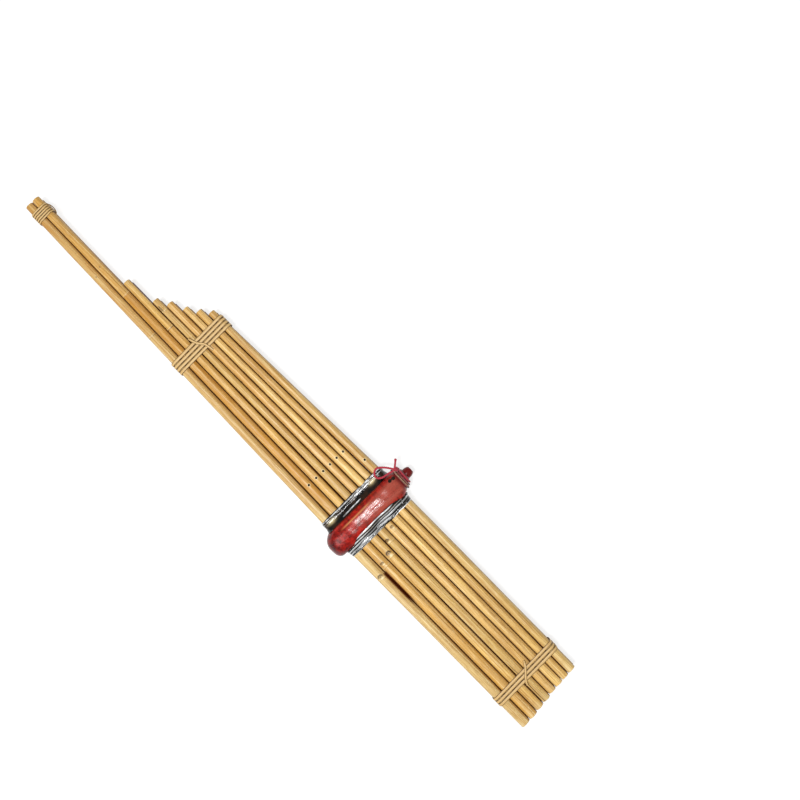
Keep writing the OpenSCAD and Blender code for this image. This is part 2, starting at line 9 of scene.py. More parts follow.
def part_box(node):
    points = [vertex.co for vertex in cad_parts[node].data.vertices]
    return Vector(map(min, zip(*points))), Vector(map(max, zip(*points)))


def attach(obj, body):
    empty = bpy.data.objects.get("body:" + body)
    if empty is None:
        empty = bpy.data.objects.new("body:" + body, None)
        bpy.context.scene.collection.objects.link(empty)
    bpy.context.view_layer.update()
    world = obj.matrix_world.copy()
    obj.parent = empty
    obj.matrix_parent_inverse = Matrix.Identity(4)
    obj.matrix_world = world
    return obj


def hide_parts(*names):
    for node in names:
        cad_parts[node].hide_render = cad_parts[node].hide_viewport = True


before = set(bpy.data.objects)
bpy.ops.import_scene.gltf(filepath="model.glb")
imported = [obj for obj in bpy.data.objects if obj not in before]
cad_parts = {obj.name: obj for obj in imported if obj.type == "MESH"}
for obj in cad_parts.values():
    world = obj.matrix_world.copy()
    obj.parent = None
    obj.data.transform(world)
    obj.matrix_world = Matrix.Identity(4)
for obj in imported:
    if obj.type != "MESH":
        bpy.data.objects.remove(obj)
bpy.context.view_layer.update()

# The picture: the camera looks straight down on the instrument, turned so that the pipes run from the lower
# right to the upper left. The field is as wide as 800 pixels of the object's scale.
MM = 0.001
field_w = 0.836
camera_far = 1.15
turn_deg = -44.55
look_at = Vector((0.1070, 0.0606, 0.030))

camera_data = bpy.data.cameras.new("camera")
camera_data.sensor_width = 36
camera_data.lens = 36 * camera_far / field_w
camera_data.clip_start, camera_data.clip_end = 0.01, 20
camera = bpy.data.objects.new("camera", camera_data)
camera.location = look_at + Vector((0, 0, camera_far))
camera.rotation_euler = (0, 0, math.radians(turn_deg))
bpy.context.scene.collection.objects.link(camera)
bpy.context.scene.camera = camera
bpy.context.scene.view_settings.view_transform = "Standard"


def linear(hex_colour):
    """An sRGB colour such as "#D9B36C" as the linear colour that a shader takes."""
    parts = [int(hex_colour[k : k + 2], 16) / 255 for k in (1, 3, 5)]
    return [c / 12.92 if c <= 0.04045 else ((c + 0.055) / 1.055) ** 2.4 for c in parts] + [1.0]


def add(tree, kind, inputs=None, **settings):
    """Adds a node with its settings. An input takes a value, or the socket that feeds it."""
    node = tree.nodes.new(kind)
    for name, value in settings.items():
        setattr(node, name, value)
    for name, value in (inputs or {}).items():
        if isinstance(value, bpy.types.NodeSocket):
            tree.links.new(value, node.inputs[name])
        else:
            node.inputs[name].default_value = value
    return node


def blank_material(name):
    """A new material with its node tree emptied, and that tree."""
    material = bpy.data.materials.new(name)
    material.use_nodes = True
    material.node_tree.nodes.clear()
    return material, material.node_tree


# The table under it: white card, lit evenly. The card's own light for the camera brings it to white, more so
# far from the lamps, and what is missing in the object's shadow is left as a faint grey.
floor_side = 40.0
card, tree = blank_material("white_card_matt")
shade = add(tree, "ShaderNodeBsdfDiffuse", {"Color": linear("#F4F4F4")})
seen = add(tree, "ShaderNodeBsdfDiffuse", {"Color": linear("#8C8C8C")})
spot = add(tree, "ShaderNodeTexCoord").outputs["Object"]
far = add(tree, "ShaderNodeVectorMath", {0: spot}, operation="LENGTH").outputs["Value"]
lift = add(tree, "ShaderNodeMapRange", {0: far, 1: 0.5, 2: 2.0, 3: 0.8, 4: 1.0})
glow = add(tree, "ShaderNodeEmission", {"Color": linear("#FFFFFF"), "Strength": lift.outputs[0]})
both = add(tree, "ShaderNodeAddShader", {0: seen.outputs[0], 1: glow.outputs[0]})
path = add(tree, "ShaderNodeLightPath")
pick = add(tree, "ShaderNodeMixShader", {0: path.outputs["Is Camera Ray"], 1: shade.outputs[0], 2: both.outputs[0]})
add(tree, "ShaderNodeOutputMaterial", {0: pick.outputs[0]})

bpy.ops.mesh.primitive_plane_add(size=floor_side, location=(0, 0.1, 0))
floor = bpy.context.object
floor.name = "floor"
floor.data.materials.append(card)

world = bpy.data.worlds.new("studio")
bpy.context.scene.world = world
world.use_nodes = True
tree = world.node_tree
tree.nodes.clear()
soft = add(tree, "ShaderNodeBackground", {"Color": linear("#FFFFFF"), "Strength": 0.30})
white = add(tree, "ShaderNodeBackground", {"Color": linear("#FFFFFF"), "Strength": 1.0})
path = add(tree, "ShaderNodeLightPath")
pick = add(tree, "ShaderNodeMixShader", {0: path.outputs["Is Camera Ray"], 1: soft.outputs[0], 2: white.outputs[0]})
add(tree, "ShaderNodeOutputWorld", {0: pick.outputs[0]})

# A softbox beside the camera, towards the pipe tops, and a long weaker one at the closed end's side
for name, spot, size, power in (
    ("softbox", (-0.16, 0.10, 2.00), (0.18, 0.24), 28.0),
    ("strip_light", (-1.10, 0.00, 1.00), (0.30, 0.90), 6.0),
):
    lamp = bpy.data.lights.new(name, "AREA")
    lamp.shape = "RECTANGLE"
    lamp.size, lamp.size_y = size
    lamp.energy = power
    obj = bpy.data.objects.new(name, lamp)
    obj.location = spot
    aim = Vector((0, 0.05, 0)) - Vector(spot)
    obj.rotation_euler = aim.to_track_quat("-Z", "Y").to_euler()
    bpy.context.scene.collection.objects.link(obj)

# The reeds: a small plate of hammered metal sits on a flat of each pipe, and a tongue cut free in it swings
# through it. The metal is a dull yellow alloy, scraped along its length, which leaves fine scratches.
# They keep their solids' shapes.
pipes = 8
rows = (("left", 1), ("right", -1))

reed_metal, tree = blank_material("reed_alloy_scraped")
coords = add(tree, "ShaderNodeTexCoord")
along = add(tree, "ShaderNodeMapping", {0: coords.outputs["Object"], 3: (1.0, 0.05, 1.0)})
scratches = add(tree, "ShaderNodeTexNoise", {0: along.outputs[0], "Scale": 9000, "Detail": 4})
tarnish = add(tree, "ShaderNodeTexNoise", {0: coords.outputs["Object"], "Scale": 260, "Detail": 5})
tint = add(
    tree,
    "ShaderNodeMix",
    {0: tarnish.outputs[0], 6: linear("#C9A55A"), 7: linear("#8E6A34")},
    data_type="RGBA",
)
rough = add(tree, "ShaderNodeMapRange", {0: scratches.outputs[0], 3: 0.22, 4: 0.5})
relief = add(tree, "ShaderNodeBump", {"Height": scratches.outputs[0], "Strength": 0.4, "Distance": 0.00002})
metal = add(
    tree,
    "ShaderNodeBsdfPrincipled",
    {"Base Color": tint.outputs[2], "Metallic": 1.0, "Roughness": rough.outputs[0], "Normal": relief.outputs[0]},
)
add(tree, "ShaderNodeOutputMaterial", {0: metal.outputs[0]})

for side, _ in rows:
    for k in range(1, pipes + 1):
        for part in ("reed_plate", "reed_tongue"):
            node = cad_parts[f"{side}_{part}_{k}"]
            node.data.materials.clear()
            node.data.materials.append(reed_metal)

# The pipes: thin river bamboo, scraped and warmed straight, 16 in two rows. Each has its joints with a raised
# ring and a bud scar, a burnt finger hole, a flat and a window for its reed, and two tuning slots towards the
# other row. The bamboo is a satin gold with fine fibres along it. Painted shade, with some dust, darkens the
# sides where the pipes face each other, and painted shade darkens the bore.
low_d = [9.9, 9.0, 9.7, 9.6, 10.2, 10.4, 10.9, 11.3]
mid_d = [8.0, 7.9, 7.5, 8.6, 8.1, 8.8, 9.8, 10.1]
joint_y = [17, 19.5, 26, 32.4, 38, 49.6, 52.8, 59]
internode = [340, 340, 340, 340, 338, 332.6, 392.8, 349]
slot_y = [225, 240, 256.5, 276, 294, 327, 431.25, 453.75]
tongue_l = [9 + 4 * k / 7 for k in range(8)]
pipe_gap, row_gap, wall, mid_lean = 0.4, 0.4, 1.6, 0.8
chest_z, bend_y, mid_y, bend_step = 23.0, 11.6, 240.0, 0.3
finger_d, finger_y, thumb_y, finger_lean = 2.4, 64, 42, 12
right_joint_drop, top_edge = 9, 0.7
columns = 60


def row_x(d, i):
    total = sum(d) + (len(d) - 1) * pipe_gap
    return total / 2 - sum(d[:i]) - i * pipe_gap - d[i] / 2


def axis_at(i, s, y):
    """The x and z of a pipe's axis at height y, in millimetres."""
    low = np.array([row_x(low_d, i), chest_z + s * (row_gap + low_d[i]) / 2])
    mid = np.array([row_x(mid_d, i) - mid_lean, chest_z + s * (row_gap + mid_d[i]) / 2])
    return low + (mid - low) * max(0.0, (y - bend_y) / (mid_y - bend_y))


def pipe_r(i, y):
    if y < bend_y:
        return low_d[i] / 2
    start = (low_d[i] - bend_step) / 2
    return start + (mid_d[i] / 2 - start) * (y - bend_y) / (mid_y - bend_y)


# Bud scars and small marks as pipe, height, degrees from the front, width, length and depth, and how dark each is
scars = [
    (8, -56.5, -8, 2.8, 2.4, 0.35, 0.85),
    (7, -48.0, -14, 2.2, 1.6, 0.25, 0.85),
    (6, -45.5, 0, 2.9, 3.0, 0.42, 1.00),
    (5, -35.0, -34, 2.6, 2.2, 0.40, 1.00),
    (4, -28.0, 8, 1.8, 1.8, 0.25, 0.80),
    (5, 301.5, -28, 0.9, 5.5, 0.35, 0.90),
    (8, 374.0, 0, 0.7, 0.9, 0.12, 0.70),
    (7, 379.0, 0, 0.7, 0.9, 0.12, 0.70),
    (4, 190.0, -57, 0.8, 1.2, 0.12, 0.80),
]
# How dark the line under each pipe's upper joint is, and how much darker hands and smoke have made the pipe above
# the chest: up to its upper joint, and beyond that
joint_dark = [0.15, 0.15, 0.15, 0.15, 0.15, 0.85, 0.20, 0.60]
aged_below = [0.28, 0.16, 0.08, 0.28, 0.10, 0.30, 0.42, 0.22]
aged_above = [0.20, 0.10, 0.05, 0.18, 0.10, 0.00, 0.00, 0.42]
# How dark the painted shade, with some dust, is in each gap, from the one between pipes 1 and 2 on
gap_shade_depth = [0.90, 0.55, 0.75, 0.65, 1.00, 0.55, 0.65]


def pipe_marks(i, s, y, turn, top, foot):
    """How far the skin stands out at height y and angle turn, arrays in millimetres and radians."""
    key = i * 3.1 + (0 if s > 0 else 50)
    out = 0.045 * np.sin(y / 23 + key) + 0.03 * np.sin(y / 7.1 + 2 * turn + key) + 0.03 * np.sin(2 * turn + key)
    drop = 0 if s > 0 else right_joint_drop
    for y0 in (-joint_y[i] - drop, -joint_y[i] - drop + internode[i]):
        dy = y - y0 - 0.25 * np.sin(turn + key)
        out += 0.13 * np.exp(-((dy / 0.9) ** 2)) - 0.08 * np.exp(-(((dy + 1.3) / 0.4) ** 2))
    for k, sy, deg, w, l, deep, _ in scars:
        if k == i + 1 and s > 0:
            across = (turn - math.radians(deg)) * pipe_r(i, sy)
            near = np.exp(-((across / w * 1.4) ** 2) - (((y - sy) / l * 1.4) ** 2))
            out -= deep * near
            rim = np.hypot(across / w, (y - sy) / l)
            out += 0.12 * np.exp(-(((rim - 1.0) / 0.25) ** 2)) * (y > sy - 1)
    return out


def stations(i, s, foot, top):
    """Heights of a pipe's rings: close at its ends, joints, scars and hole, and wide apart elsewhere."""
    drop = 0 if s > 0 else right_joint_drop
    joints = (-joint_y[i] - drop, -joint_y[i] - drop + internode[i])
    ys = set(np.round(np.arange(foot, top, 12.0), 3)) | {foot, foot + 0.3, top - 0.05, top - 0.3, top - top_edge}
    for y0 in joints:
        ys |= set(np.round(np.arange(y0 - 4.5, y0 + 4.5, 0.45), 3))
    for k, sy, _, _, l, _, _ in scars:
        if k == i + 1 and s > 0:
            ys |= set(np.round(np.arange(sy - 1.6 * l, sy + 1.6 * l, 0.4), 3))
    hole = thumb_y if i == 0 else finger_y
    ys |= set(np.round(np.arange(hole - 4, hole + 4, 0.8), 3)) | {bend_y - 0.2, bend_y + 0.2}
    ys = sorted(y for y in ys if foot <= y <= top - 0.05)
    return [y for k, y in enumerate(ys) if k == 0 or y - ys[k - 1] > 0.04 or y == foot]


def skin(name, rings, closed=False, caps=True):
    """A mesh object over equal rings of points in millimetres; closed joins the last ring to the first."""
    n = len(rings[0])
    points = np.concatenate(rings) * MM
    count = len(rings)
    faces = []
    for a in range(count if closed else count - 1):
        b = (a + 1) % count
        for j in range(n):
            k = (j + 1) % n
            faces.append((a * n + j, a * n + k, b * n + k, b * n + j))
    if caps and not closed:
        faces.append(tuple(range(n - 1, -1, -1)))
        faces.append(tuple((count - 1) * n + j for j in range(n)))
    mesh = bpy.data.meshes.new(name)
    mesh.from_pydata(points.tolist(), [], faces)
    obj = bpy.data.objects.new(name, mesh)
    bpy.context.scene.collection.objects.link(obj)
    return obj


def outwards(obj, merge=1e-7):
    """Merges doubled points and turns every face outwards."""
    bm = bmesh.new()
    bm.from_mesh(obj.data)
    bmesh.ops.remove_doubles(bm, verts=bm.verts[:], dist=merge)
    bmesh.ops.dissolve_degenerate(bm, edges=bm.edges[:], dist=merge)
    bmesh.ops.recalc_face_normals(bm, faces=bm.faces[:])
    bm.to_mesh(obj.data)
    bm.free()
    return obj


def block(low, high):
    """A box between two corners in millimetres, to cut with."""
    (x0, y0, z0), (x1, y1, z1) = low, high
    rings = [np.array([(x0, y, z0), (x1, y, z0), (x1, y, z1), (x0, y, z1)]) for y in (y0, y1)]
    return outwards(skin("cutter", rings))


def carve(obj, cutters, operation="DIFFERENCE"):
    """Cuts each of the cutters out of the object, or joins it on, and deletes it."""
    for cutter in cutters:
        step = obj.modifiers.new("carve", "BOOLEAN")
        step.operation, step.object, step.solver = operation, cutter, "MANIFOLD"
    bpy.context.view_layer.update()
    made = bpy.data.meshes.new_from_object(obj.evaluated_get(bpy.context.evaluated_depsgraph_get()))
    obj.modifiers.clear()
    obj.data = made
    for cutter in cutters:
        bpy.data.objects.remove(cutter)
    return obj


def soften(obj, degrees=35):
    """Smooth shading, with edges sharper than that many degrees left crisp."""
    obj.data.shade_smooth()
    obj.data.set_sharp_from_angle(angle=math.radians(degrees))


def store(obj, name, values):
    """Keeps a number for each point of the mesh, which a material then reads by name."""
    attribute = obj.data.attributes.new(name, "FLOAT", "POINT")
    attribute.data.foreach_set("value", np.asarray(values, np.float32))


def points_of(obj):
    """The mesh's points in millimetres."""
    co = np.zeros(len(obj.data.vertices) * 3, np.float32)
    obj.data.vertices.foreach_get("co", co)
    return co.reshape(-1, 3).astype(float) / MM


def smooth_step(v, a, b):
    t = np.clip((v - a) / (b - a), 0, 1)
    return t * t * (3 - 2 * t)


def mixed(tree, share, first, second):
    """The colour between two, where each is a colour or the socket of one; share is a number or a socket."""
    node = add(tree, "ShaderNodeMix", {0: share}, data_type="RGBA")
    for index, colour in ((6, first), (7, second)):
        if isinstance(colour, str):
            node.inputs[index].default_value = linear(colour)
        else:
            tree.links.new(colour, node.inputs[index])
    return node.outputs[2]


def between(tree, value, low, high, start=0.0, end=1.0, smooth=False):
    """The value's place between low and high, as a share from start to end."""
    kind = "SMOOTHSTEP" if smooth else "LINEAR"
    sockets = {0: value, 1: low, 2: high, 3: start, 4: end}
    return add(tree, "ShaderNodeMapRange", sockets, interpolation_type=kind).outputs[0]


def bamboo(name, skin_colour, seed):
    """The pipe's bamboo: its own gold, with fine fibres, the marks of joints and scars, painted shade with some dust in
    the gaps, and painted shade in the bore.
    """
    material, tree = blank_material(name)
    coords = add(tree, "ShaderNodeTexCoord").outputs["Object"]
    move = (seed * 0.37, seed * 0.71, 0.0)
    thin = add(tree, "ShaderNodeMapping", {0: coords, 1: move, 3: (1.0, 0.03, 1.0)}).outputs[0]
    broad = add(tree, "ShaderNodeMapping", {0: coords, 1: move, 3: (1.0, 0.012, 1.0)}).outputs[0]
    patch = add(tree, "ShaderNodeMapping", {0: coords, 1: move, 3: (1.0, 0.22, 1.0)}).outputs[0]
    dots = add(tree, "ShaderNodeMapping", {0: coords, 1: move, 3: (1.0, 0.05, 1.0)}).outputs[0]
    # Fibres lie about 0.3 mm apart, in bundles of a millimetre or so
    fibres = add(tree, "ShaderNodeTexNoise", {0: thin, "Scale": 2300, "Detail": 4, "Roughness": 0.6}).outputs[0]
    bundles = add(tree, "ShaderNodeTexNoise", {0: broad, "Scale": 760, "Detail": 3}).outputs[0]
    clouds = add(tree, "ShaderNodeTexNoise", {0: patch, "Scale": 110, "Detail": 4}).outputs[0]
    specks = add(tree, "ShaderNodeTexNoise", {0: dots, "Scale": 1900, "Detail": 4, "Roughness": 0.6}).outputs[0]
    tone = mixed(tree, between(tree, clouds, 0.38, 0.66, 0.0, 0.55), skin_colour, "#C59C5E")
    tone = mixed(tree, between(tree, bundles, 0.50, 0.68, 0.0, 0.75), tone, "#AE7C38")
    tone = mixed(tree, between(tree, bundles, 0.46, 0.32, 0.0, 0.6), tone, "#F8E2AC")
    tone = mixed(tree, between(tree, fibres, 0.50, 0.70, 0.0, 0.6), tone, "#A67836")
    tone = mixed(tree, between(tree, specks, 0.56, 0.70, 0.0, 0.5), tone, "#8F6228")
    tone = mixed(tree, between(tree, specks, 0.44, 0.32, 0.0, 0.4), tone, "#FBEABD")
    for mark, colour in (
        ("aged", "#BC7A1A"),
        ("pale", "#F8E6B4"),
        # painted shade, with some dust, where the pipes face each other
        ("gap_shade_and_dust", "#5E2400"),
        ("scar", "#3A1C06"),
        # painted shade in the bore, with the real scorch on the finger hole's wall
        ("inside", "#1C1108"),
    ):
        tone = mixed(tree, add(tree, "ShaderNodeAttribute", attribute_name=mark).outputs["Fac"], tone, colour)
    rough = between(tree, fibres, 0.3, 0.7, 0.30, 0.52)
    relief = add(tree, "ShaderNodeBump", {"Height": fibres, "Strength": 0.5, "Distance": 0.00008})
    relief = add(
        tree,
        "ShaderNodeBump",
        {"Height": bundles, "Strength": 0.5, "Distance": 0.00025, "Normal": relief.outputs[0]},
    )
    shell = add(
        tree,
        "ShaderNodeBsdfPrincipled",
        {"Base Color": tone, "Roughness": rough, "IOR": 1.48, "Normal": relief.outputs[0]},
    )
    add(tree, "ShaderNodeOutputMaterial", {0: shell.outputs[0]})
    return material


def round_cutter(i, s, y, deg):
    """The finger hole's cutter: straight through the wall, opened a little at the skin by the hot iron."""
    x, z = axis_at(i, s, y)
    r = pipe_r(i, y)
    facing = np.array([math.sin(math.radians(deg)), 0, math.cos(math.radians(deg)) * s])
    across = np.array([facing[2], 0, -facing[0]])
    up = np.array([0, 1.0, 0])
    rings = []
    for far, width in ((0.5, finger_d / 2), (r - 0.35, finger_d / 2), (r + 0.05, finger_d / 2 + 0.25), (r + 2, finger_d / 2 + 0.6)):
        turns = np.linspace(0, 2 * math.pi, 28, endpoint=False)
        middle = np.array([x, y, z]) + facing * far
        rings.append(middle + width * (np.cos(turns)[:, None] * across + np.sin(turns)[:, None] * up))
    return outwards(skin("cutter", rings))


def make_pipe(side, s, i):
    """One pipe as a closed tube with its bore, then its cuts and the marks for its material."""
    node = f"{side}_pipe_{i + 1}"
    low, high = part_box(node)
    foot, top = low.y / MM, high.y / MM
    turns = np.linspace(-math.pi, math.pi, columns, endpoint=False)
    uneven = 0.16 * np.sin(turns * 2 + i) + 0.08 * np.sin(5 * turns + i * 2)
    outer, inner = [], []
    for y in stations(i, s, foot, top):
        x, z = axis_at(i, s, y)
        edge = max(0.0, y - (top - top_edge)) / top_edge
        r = pipe_r(i, y) - top_edge * (1 - math.sqrt(max(0.0, 1 - edge * edge))) * 0.9
        if y < foot + 0.1:
            r -= 0.25
        ys = y + uneven * (y < foot + 0.5) - np.abs(uneven) * (y > top - 1.2)
        rr = r + pipe_marks(i, s, y, turns, top, foot)
        outer.append(np.stack([x + rr * np.sin(turns), ys, z + s * rr * np.cos(turns)], 1))
    ends = (foot, foot + 0.5, foot + 60, bend_y, (top + bend_y) / 2, top - 0.5, top - 0.1)
    for y in reversed(ends):
        x, z = axis_at(i, s, y)
        r = pipe_r(i, y) - wall
        ys = y + uneven * (y < foot + 0.4) - np.abs(uneven) * (y > top - 0.3)
        inner.append(np.stack([x + r * np.sin(turns), ys + 0 * turns, z + s * r * np.cos(turns)], 1))
    pipe = outwards(skin(f"{side}_bamboo_{i + 1}", outer + inner, closed=True))

    x, z = axis_at(i, s, 0)
    r, l = low_d[i] / 2, tongue_l[i]
    seat = r - 0.8
    hole_y = thumb_y if i == 0 else finger_y
    deg = -90 if i == pipes - 1 else finger_lean
    cuts = [round_cutter(i, s, hole_y, deg)]
    flat_l = (l + 2.92 + 0.4) / 2
    a, b = sorted((z + s * seat, z + s * (r + 1)))
    cuts.append(block((x - r, -flat_l, a), (x + r, flat_l, b)))
    a, b = sorted((z, z + s * (seat + 0.5)))
    cuts.append(block((x - 1.1, -l / 2 - 0.35, a), (x + 1.1, l / 2 + 0.35, b)))
    for y in (slot_y[i], -slot_y[i] / 3):
        sx, sz = axis_at(i, s, y)
        a, b = sorted((sz, sz - s * (pipe_r(i, y) + 1)))
        cuts.append(block((sx - 1.3, y - 4.5, a), (sx + 1.3, y + 4.5, b)))
    carve(pipe, cuts)
    soften(pipe)

    co = points_of(pipe)
    y = co[:, 1]
    centres = np.array([axis_at(i, s, v) for v in y])
    radii = np.array([pipe_r(i, v) for v in y])
    dx, dz = co[:, 0] - centres[:, 0], s * (co[:, 2] - centres[:, 1])
    r, turn = np.hypot(dx, dz), np.arctan2(dx, dz)
    mottle = np.array([noise.noise(Vector((a * 0.35, b * 0.05, i * 5.0 + s))) for a, b in zip(co[:, 0], y)])
    # Painted shade, with some dust, on the sides that face a neighbouring pipe; less on the outermost sides
    sidewards = np.abs(np.sin(turn)) * (np.cos(turn) > -0.2) + (np.cos(turn) <= -0.2)
    outer_side = ((i == pipes - 1) & (dx < 0)) | ((i == 0) & (dx > 0))
    if i >= pipes - 2:
        outer_side = outer_side | ((i == pipes - 2) & (dx > 0) & (y > 352))
    gap_shading = np.where(dx > 0, gap_shade_depth[max(i - 1, 0)], gap_shade_depth[min(i, pipes - 2)])
    gap_shade_and_dust = smooth_step(sidewards, 0.83, 0.95) * np.where(outer_side, 0.2, gap_shading)
    gap_shade_and_dust = np.maximum(gap_shade_and_dust, 0.2 * smooth_step(sidewards, 0.6, 0.98) * np.where(outer_side, 0.5, 1.0) * (0.6 + mottle))
    # Painted shadow: a wide dark wedge on the facing sides of pipes 7 and 8, below the chest
    if i >= pipes - 2 and s > 0:
        inner = dx * (1 if i == pipes - 1 else -1) / radii
        reach = smooth_step(y, -112, -92) * smooth_step(-y, 54, 58)
        gap_shade_and_dust = np.maximum(gap_shade_and_dust, reach * smooth_step(inner, 0.62, 0.72))
    drop = 0 if s > 0 else right_joint_drop
    pale, dark = np.zeros(len(co)), np.zeros(len(co))
    upper_joint = -joint_y[i] - drop + internode[i]
    for y0, line in ((-joint_y[i] - drop, 0.2), (upper_joint, joint_dark[i])):
        dy = y - y0
        pale = np.maximum(pale, 0.25 * np.exp(-((dy / 0.6) ** 2)))
        dark = np.maximum(dark, line * np.exp(-(((dy + 0.9) / 0.45) ** 2)) * np.clip(0.8 + mottle, 0, 1))
    beyond = smooth_step(y, upper_joint - 0.6, upper_joint + 0.2)
    aged = aged_below[i] * smooth_step(y, 5, 70) * (1 - beyond) + aged_above[i] * beyond
    for k, sy, at, w, long, _, depth in scars:
        if k == i + 1 and s > 0:
            across = (turn - math.radians(at)) * radii
            ring = np.hypot(across / w, (y - sy) / long)
            arc = np.exp(-(((ring - 0.85) / 0.35) ** 2)) * smooth_step(y - sy, -1.6, 0.4)
            dark = np.maximum(dark, depth * np.maximum(arc, 0.8 * smooth_step(-ring, -0.7, -0.2)))
            if w > 1.5:
                below = np.hypot((across - 0.4 * w) / w, (y - sy + long) / (0.6 * long))
                pale = np.maximum(pale, 0.75 * smooth_step(-below, -1.0, -0.4))
    hole = np.array([*axis_at(i, s, hole_y)])
    tilt = math.radians(deg)
    reach = np.hypot((turn - tilt) * radii, y - hole_y)
    pale = np.maximum(pale, 0.55 * smooth_step(-reach, -2.3, -1.6))
    burnt = smooth_step(-reach, -1.55, -1.2)
    within = smooth_step(radii - r, 0.5, 0.75)
    ends = np.maximum(smooth_step(y, top - 0.6, top - 0.2), smooth_step(-y, -foot - 0.5, -foot - 0.1))
    pale = np.maximum(pale, ends * 0.3)
    if i == 4 and s > 0:
        path = (turn - math.radians(-30)) * radii + 0.25 * np.sin(y / 6)
        crack = np.exp(-((path / 0.55) ** 2)) * smooth_step(-y, 208, 214)
        stain = np.exp(-(((dx - 0.5) / 2.0) ** 2) - (((y + 262) / 4.0) ** 2))
        dark = np.maximum(dark, np.maximum(0.95 * crack, 0.45 * stain))
    store(pipe, "aged", aged * (0.8 + 0.8 * mottle))
    store(pipe, "gap_shade_and_dust", np.clip(gap_shade_and_dust, 0, 1))
    store(pipe, "pale", np.clip(pale, 0, 1) * (within < 0.5))
    store(pipe, "scar", np.clip(dark, 0, 1))
    # Painted shade over the bore's surface, and the real scorched wall of the finger hole
    store(pipe, "inside", np.maximum(within * (1 - ends), burnt * (r < radii + 0.02) * (within > 0.2)))
    pipe.data.materials.clear()
    pipe.data.materials.append(bamboo(f"bamboo_scraped_{side}_{i + 1}", tints[i], i * 2 + (s < 0)))
    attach(pipe, "khene")
    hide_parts(node)
    return pipe


# From pipe 1 to pipe 8: gold, tan, pale gold, pinkish tan, khaki, gold, orange and greyish straw
tints = ["#DFBB6E", "#E6BC6A", "#FAD27E", "#EBBE6E", "#DAB566", "#EEC26A", "#DFAB50", "#DCBB76"]
for side, s in rows:
    for i in range(pipes):
        make_pipe(side, s, i)

# The wind chest: one block of hardwood carved to a long egg, stained and lacquered red, with a slot for the
# pipes, flat lands above and below it for the wax, a neck, and a round mouthpiece with the mouth hole.
# The lacquer is thin and old: worn to a dull salmon on the face, glossy all over. Painted shade, broken by the
# mottle, darkens the rounded closed end; painted shade also darkens the neck, the mouthpiece and both shoulders.
closed_end, mouth_end, round_x = 55.2, 56.6, 36.0
crown_top, crown_foot, chest_half_z = 15.2, 15.6, 23.6
land_top, land_foot = 13.4, 13.9
fall_top_x, fall_foot_x, fall_top, fall_foot = 42.0, 40.0, 6.75, 10.7
knob_d, knob_l, mouth_d, mouth_y = 11.5, 7.4, 5.4, 0.9
slot_side, slot_end_share = 3.0, 0.4


def crown_above(x):
    if x < -round_x:
        return crown_top * math.sqrt(max(0, 1 - ((-x - round_x) / (closed_end - round_x)) ** 2))
    if x > fall_top_x:
        return crown_top - fall_top * ((x - fall_top_x) / (mouth_end - fall_top_x)) ** 1.3
    return crown_top


def crown_below(x):
    if x < -round_x:
        return crown_foot * max(0, 1 - ((-x - round_x) / (closed_end - round_x)) ** 3.6) ** (1 / 3.6)
    if x > fall_foot_x:
        return crown_foot - fall_foot * (x - fall_foot_x) / (mouth_end - fall_foot_x)
    return crown_foot


def half_deep(x):
    if x < 0:
        return chest_half_z * max(0, 1 - (-x / closed_end) ** 3.2) ** 0.45
    return chest_half_z * math.sqrt(1 - (x / (mouth_end * 1.06)) ** 3.4)


def square(x):
    return 3.3 - 1.1 * (abs(x) / mouth_end) ** 4


def chest_ring(x, n):
    """A section of the carved form at x, with n points, from the front over the foot side to the back."""
    a = 2 * math.pi * (np.arange(n) + 0.5) / n
    e = 2 / square(x)
    crown = np.where(np.sin(a) > 0, crown_above(x), crown_below(x))
    y = crown * np.sign(np.sin(a)) * np.abs(np.sin(a)) ** e
    z = half_deep(x) * np.sign(np.cos(a)) * np.abs(np.cos(a)) ** e
    cuts = 0.10 * np.sin(x / 3.7 + 2.1 * np.sin(3 * a)) + 0.07 * np.sin(x / 1.9 + 5 * a)
    shrink = 1 - np.clip(cuts + 0.12, 0, 1) / np.hypot(y, z).clip(4)
    return np.stack([np.full(n, x), y * shrink, chest_z + z * shrink], 1)


def corners(a, b, y):
    """The pipes at the corners of the pack between pipes a and b, as x, z and radius, clockwise."""
    found = []
    for i, s in ((a, 1), (b, 1), (b, -1), (a, -1)):
        x, z = axis_at(i, s, y)
        found.append((x, z, pipe_r(i, y)))
    return found


def outline(c, grow, side_share=1.0, arc=14):
    """The taut line round the corner pipes, as x, z and the way it faces."""
    def facing(p, q):
        d = (q[0] - p[0], q[1] - p[1])
        return math.atan2(d[1], d[0]) + math.acos((p[2] - q[2]) / math.hypot(*d))

    points = []
    for k in range(4):
        start = facing(c[k - 1], c[k])
        end = facing(c[k], c[(k + 1) % 4])
        end = start - ((start - end) % (2 * math.pi))
        for j in range(arc):
            a = start + (end - start) * j / (arc - 1)
            x = c[k][0] + (c[k][2] + grow * side_share) * math.cos(a)
            z = c[k][1] + (c[k][2] + grow) * math.sin(a)
            points.append((x, z, math.cos(a), math.sin(a)))
    return np.array(points)


def spread_evenly(loop, n):
    """A closed line with n points evenly along it."""
    closed = np.vstack([loop, loop[:1]])
    far = np.concatenate([[0], np.cumsum(np.hypot(*np.diff(closed[:, :2], axis=0).T))])
    at = np.linspace(0, far[-1], n, endpoint=False)
    return np.stack([np.interp(at, far, closed[:, k]) for k in range(loop.shape[1])], 1)


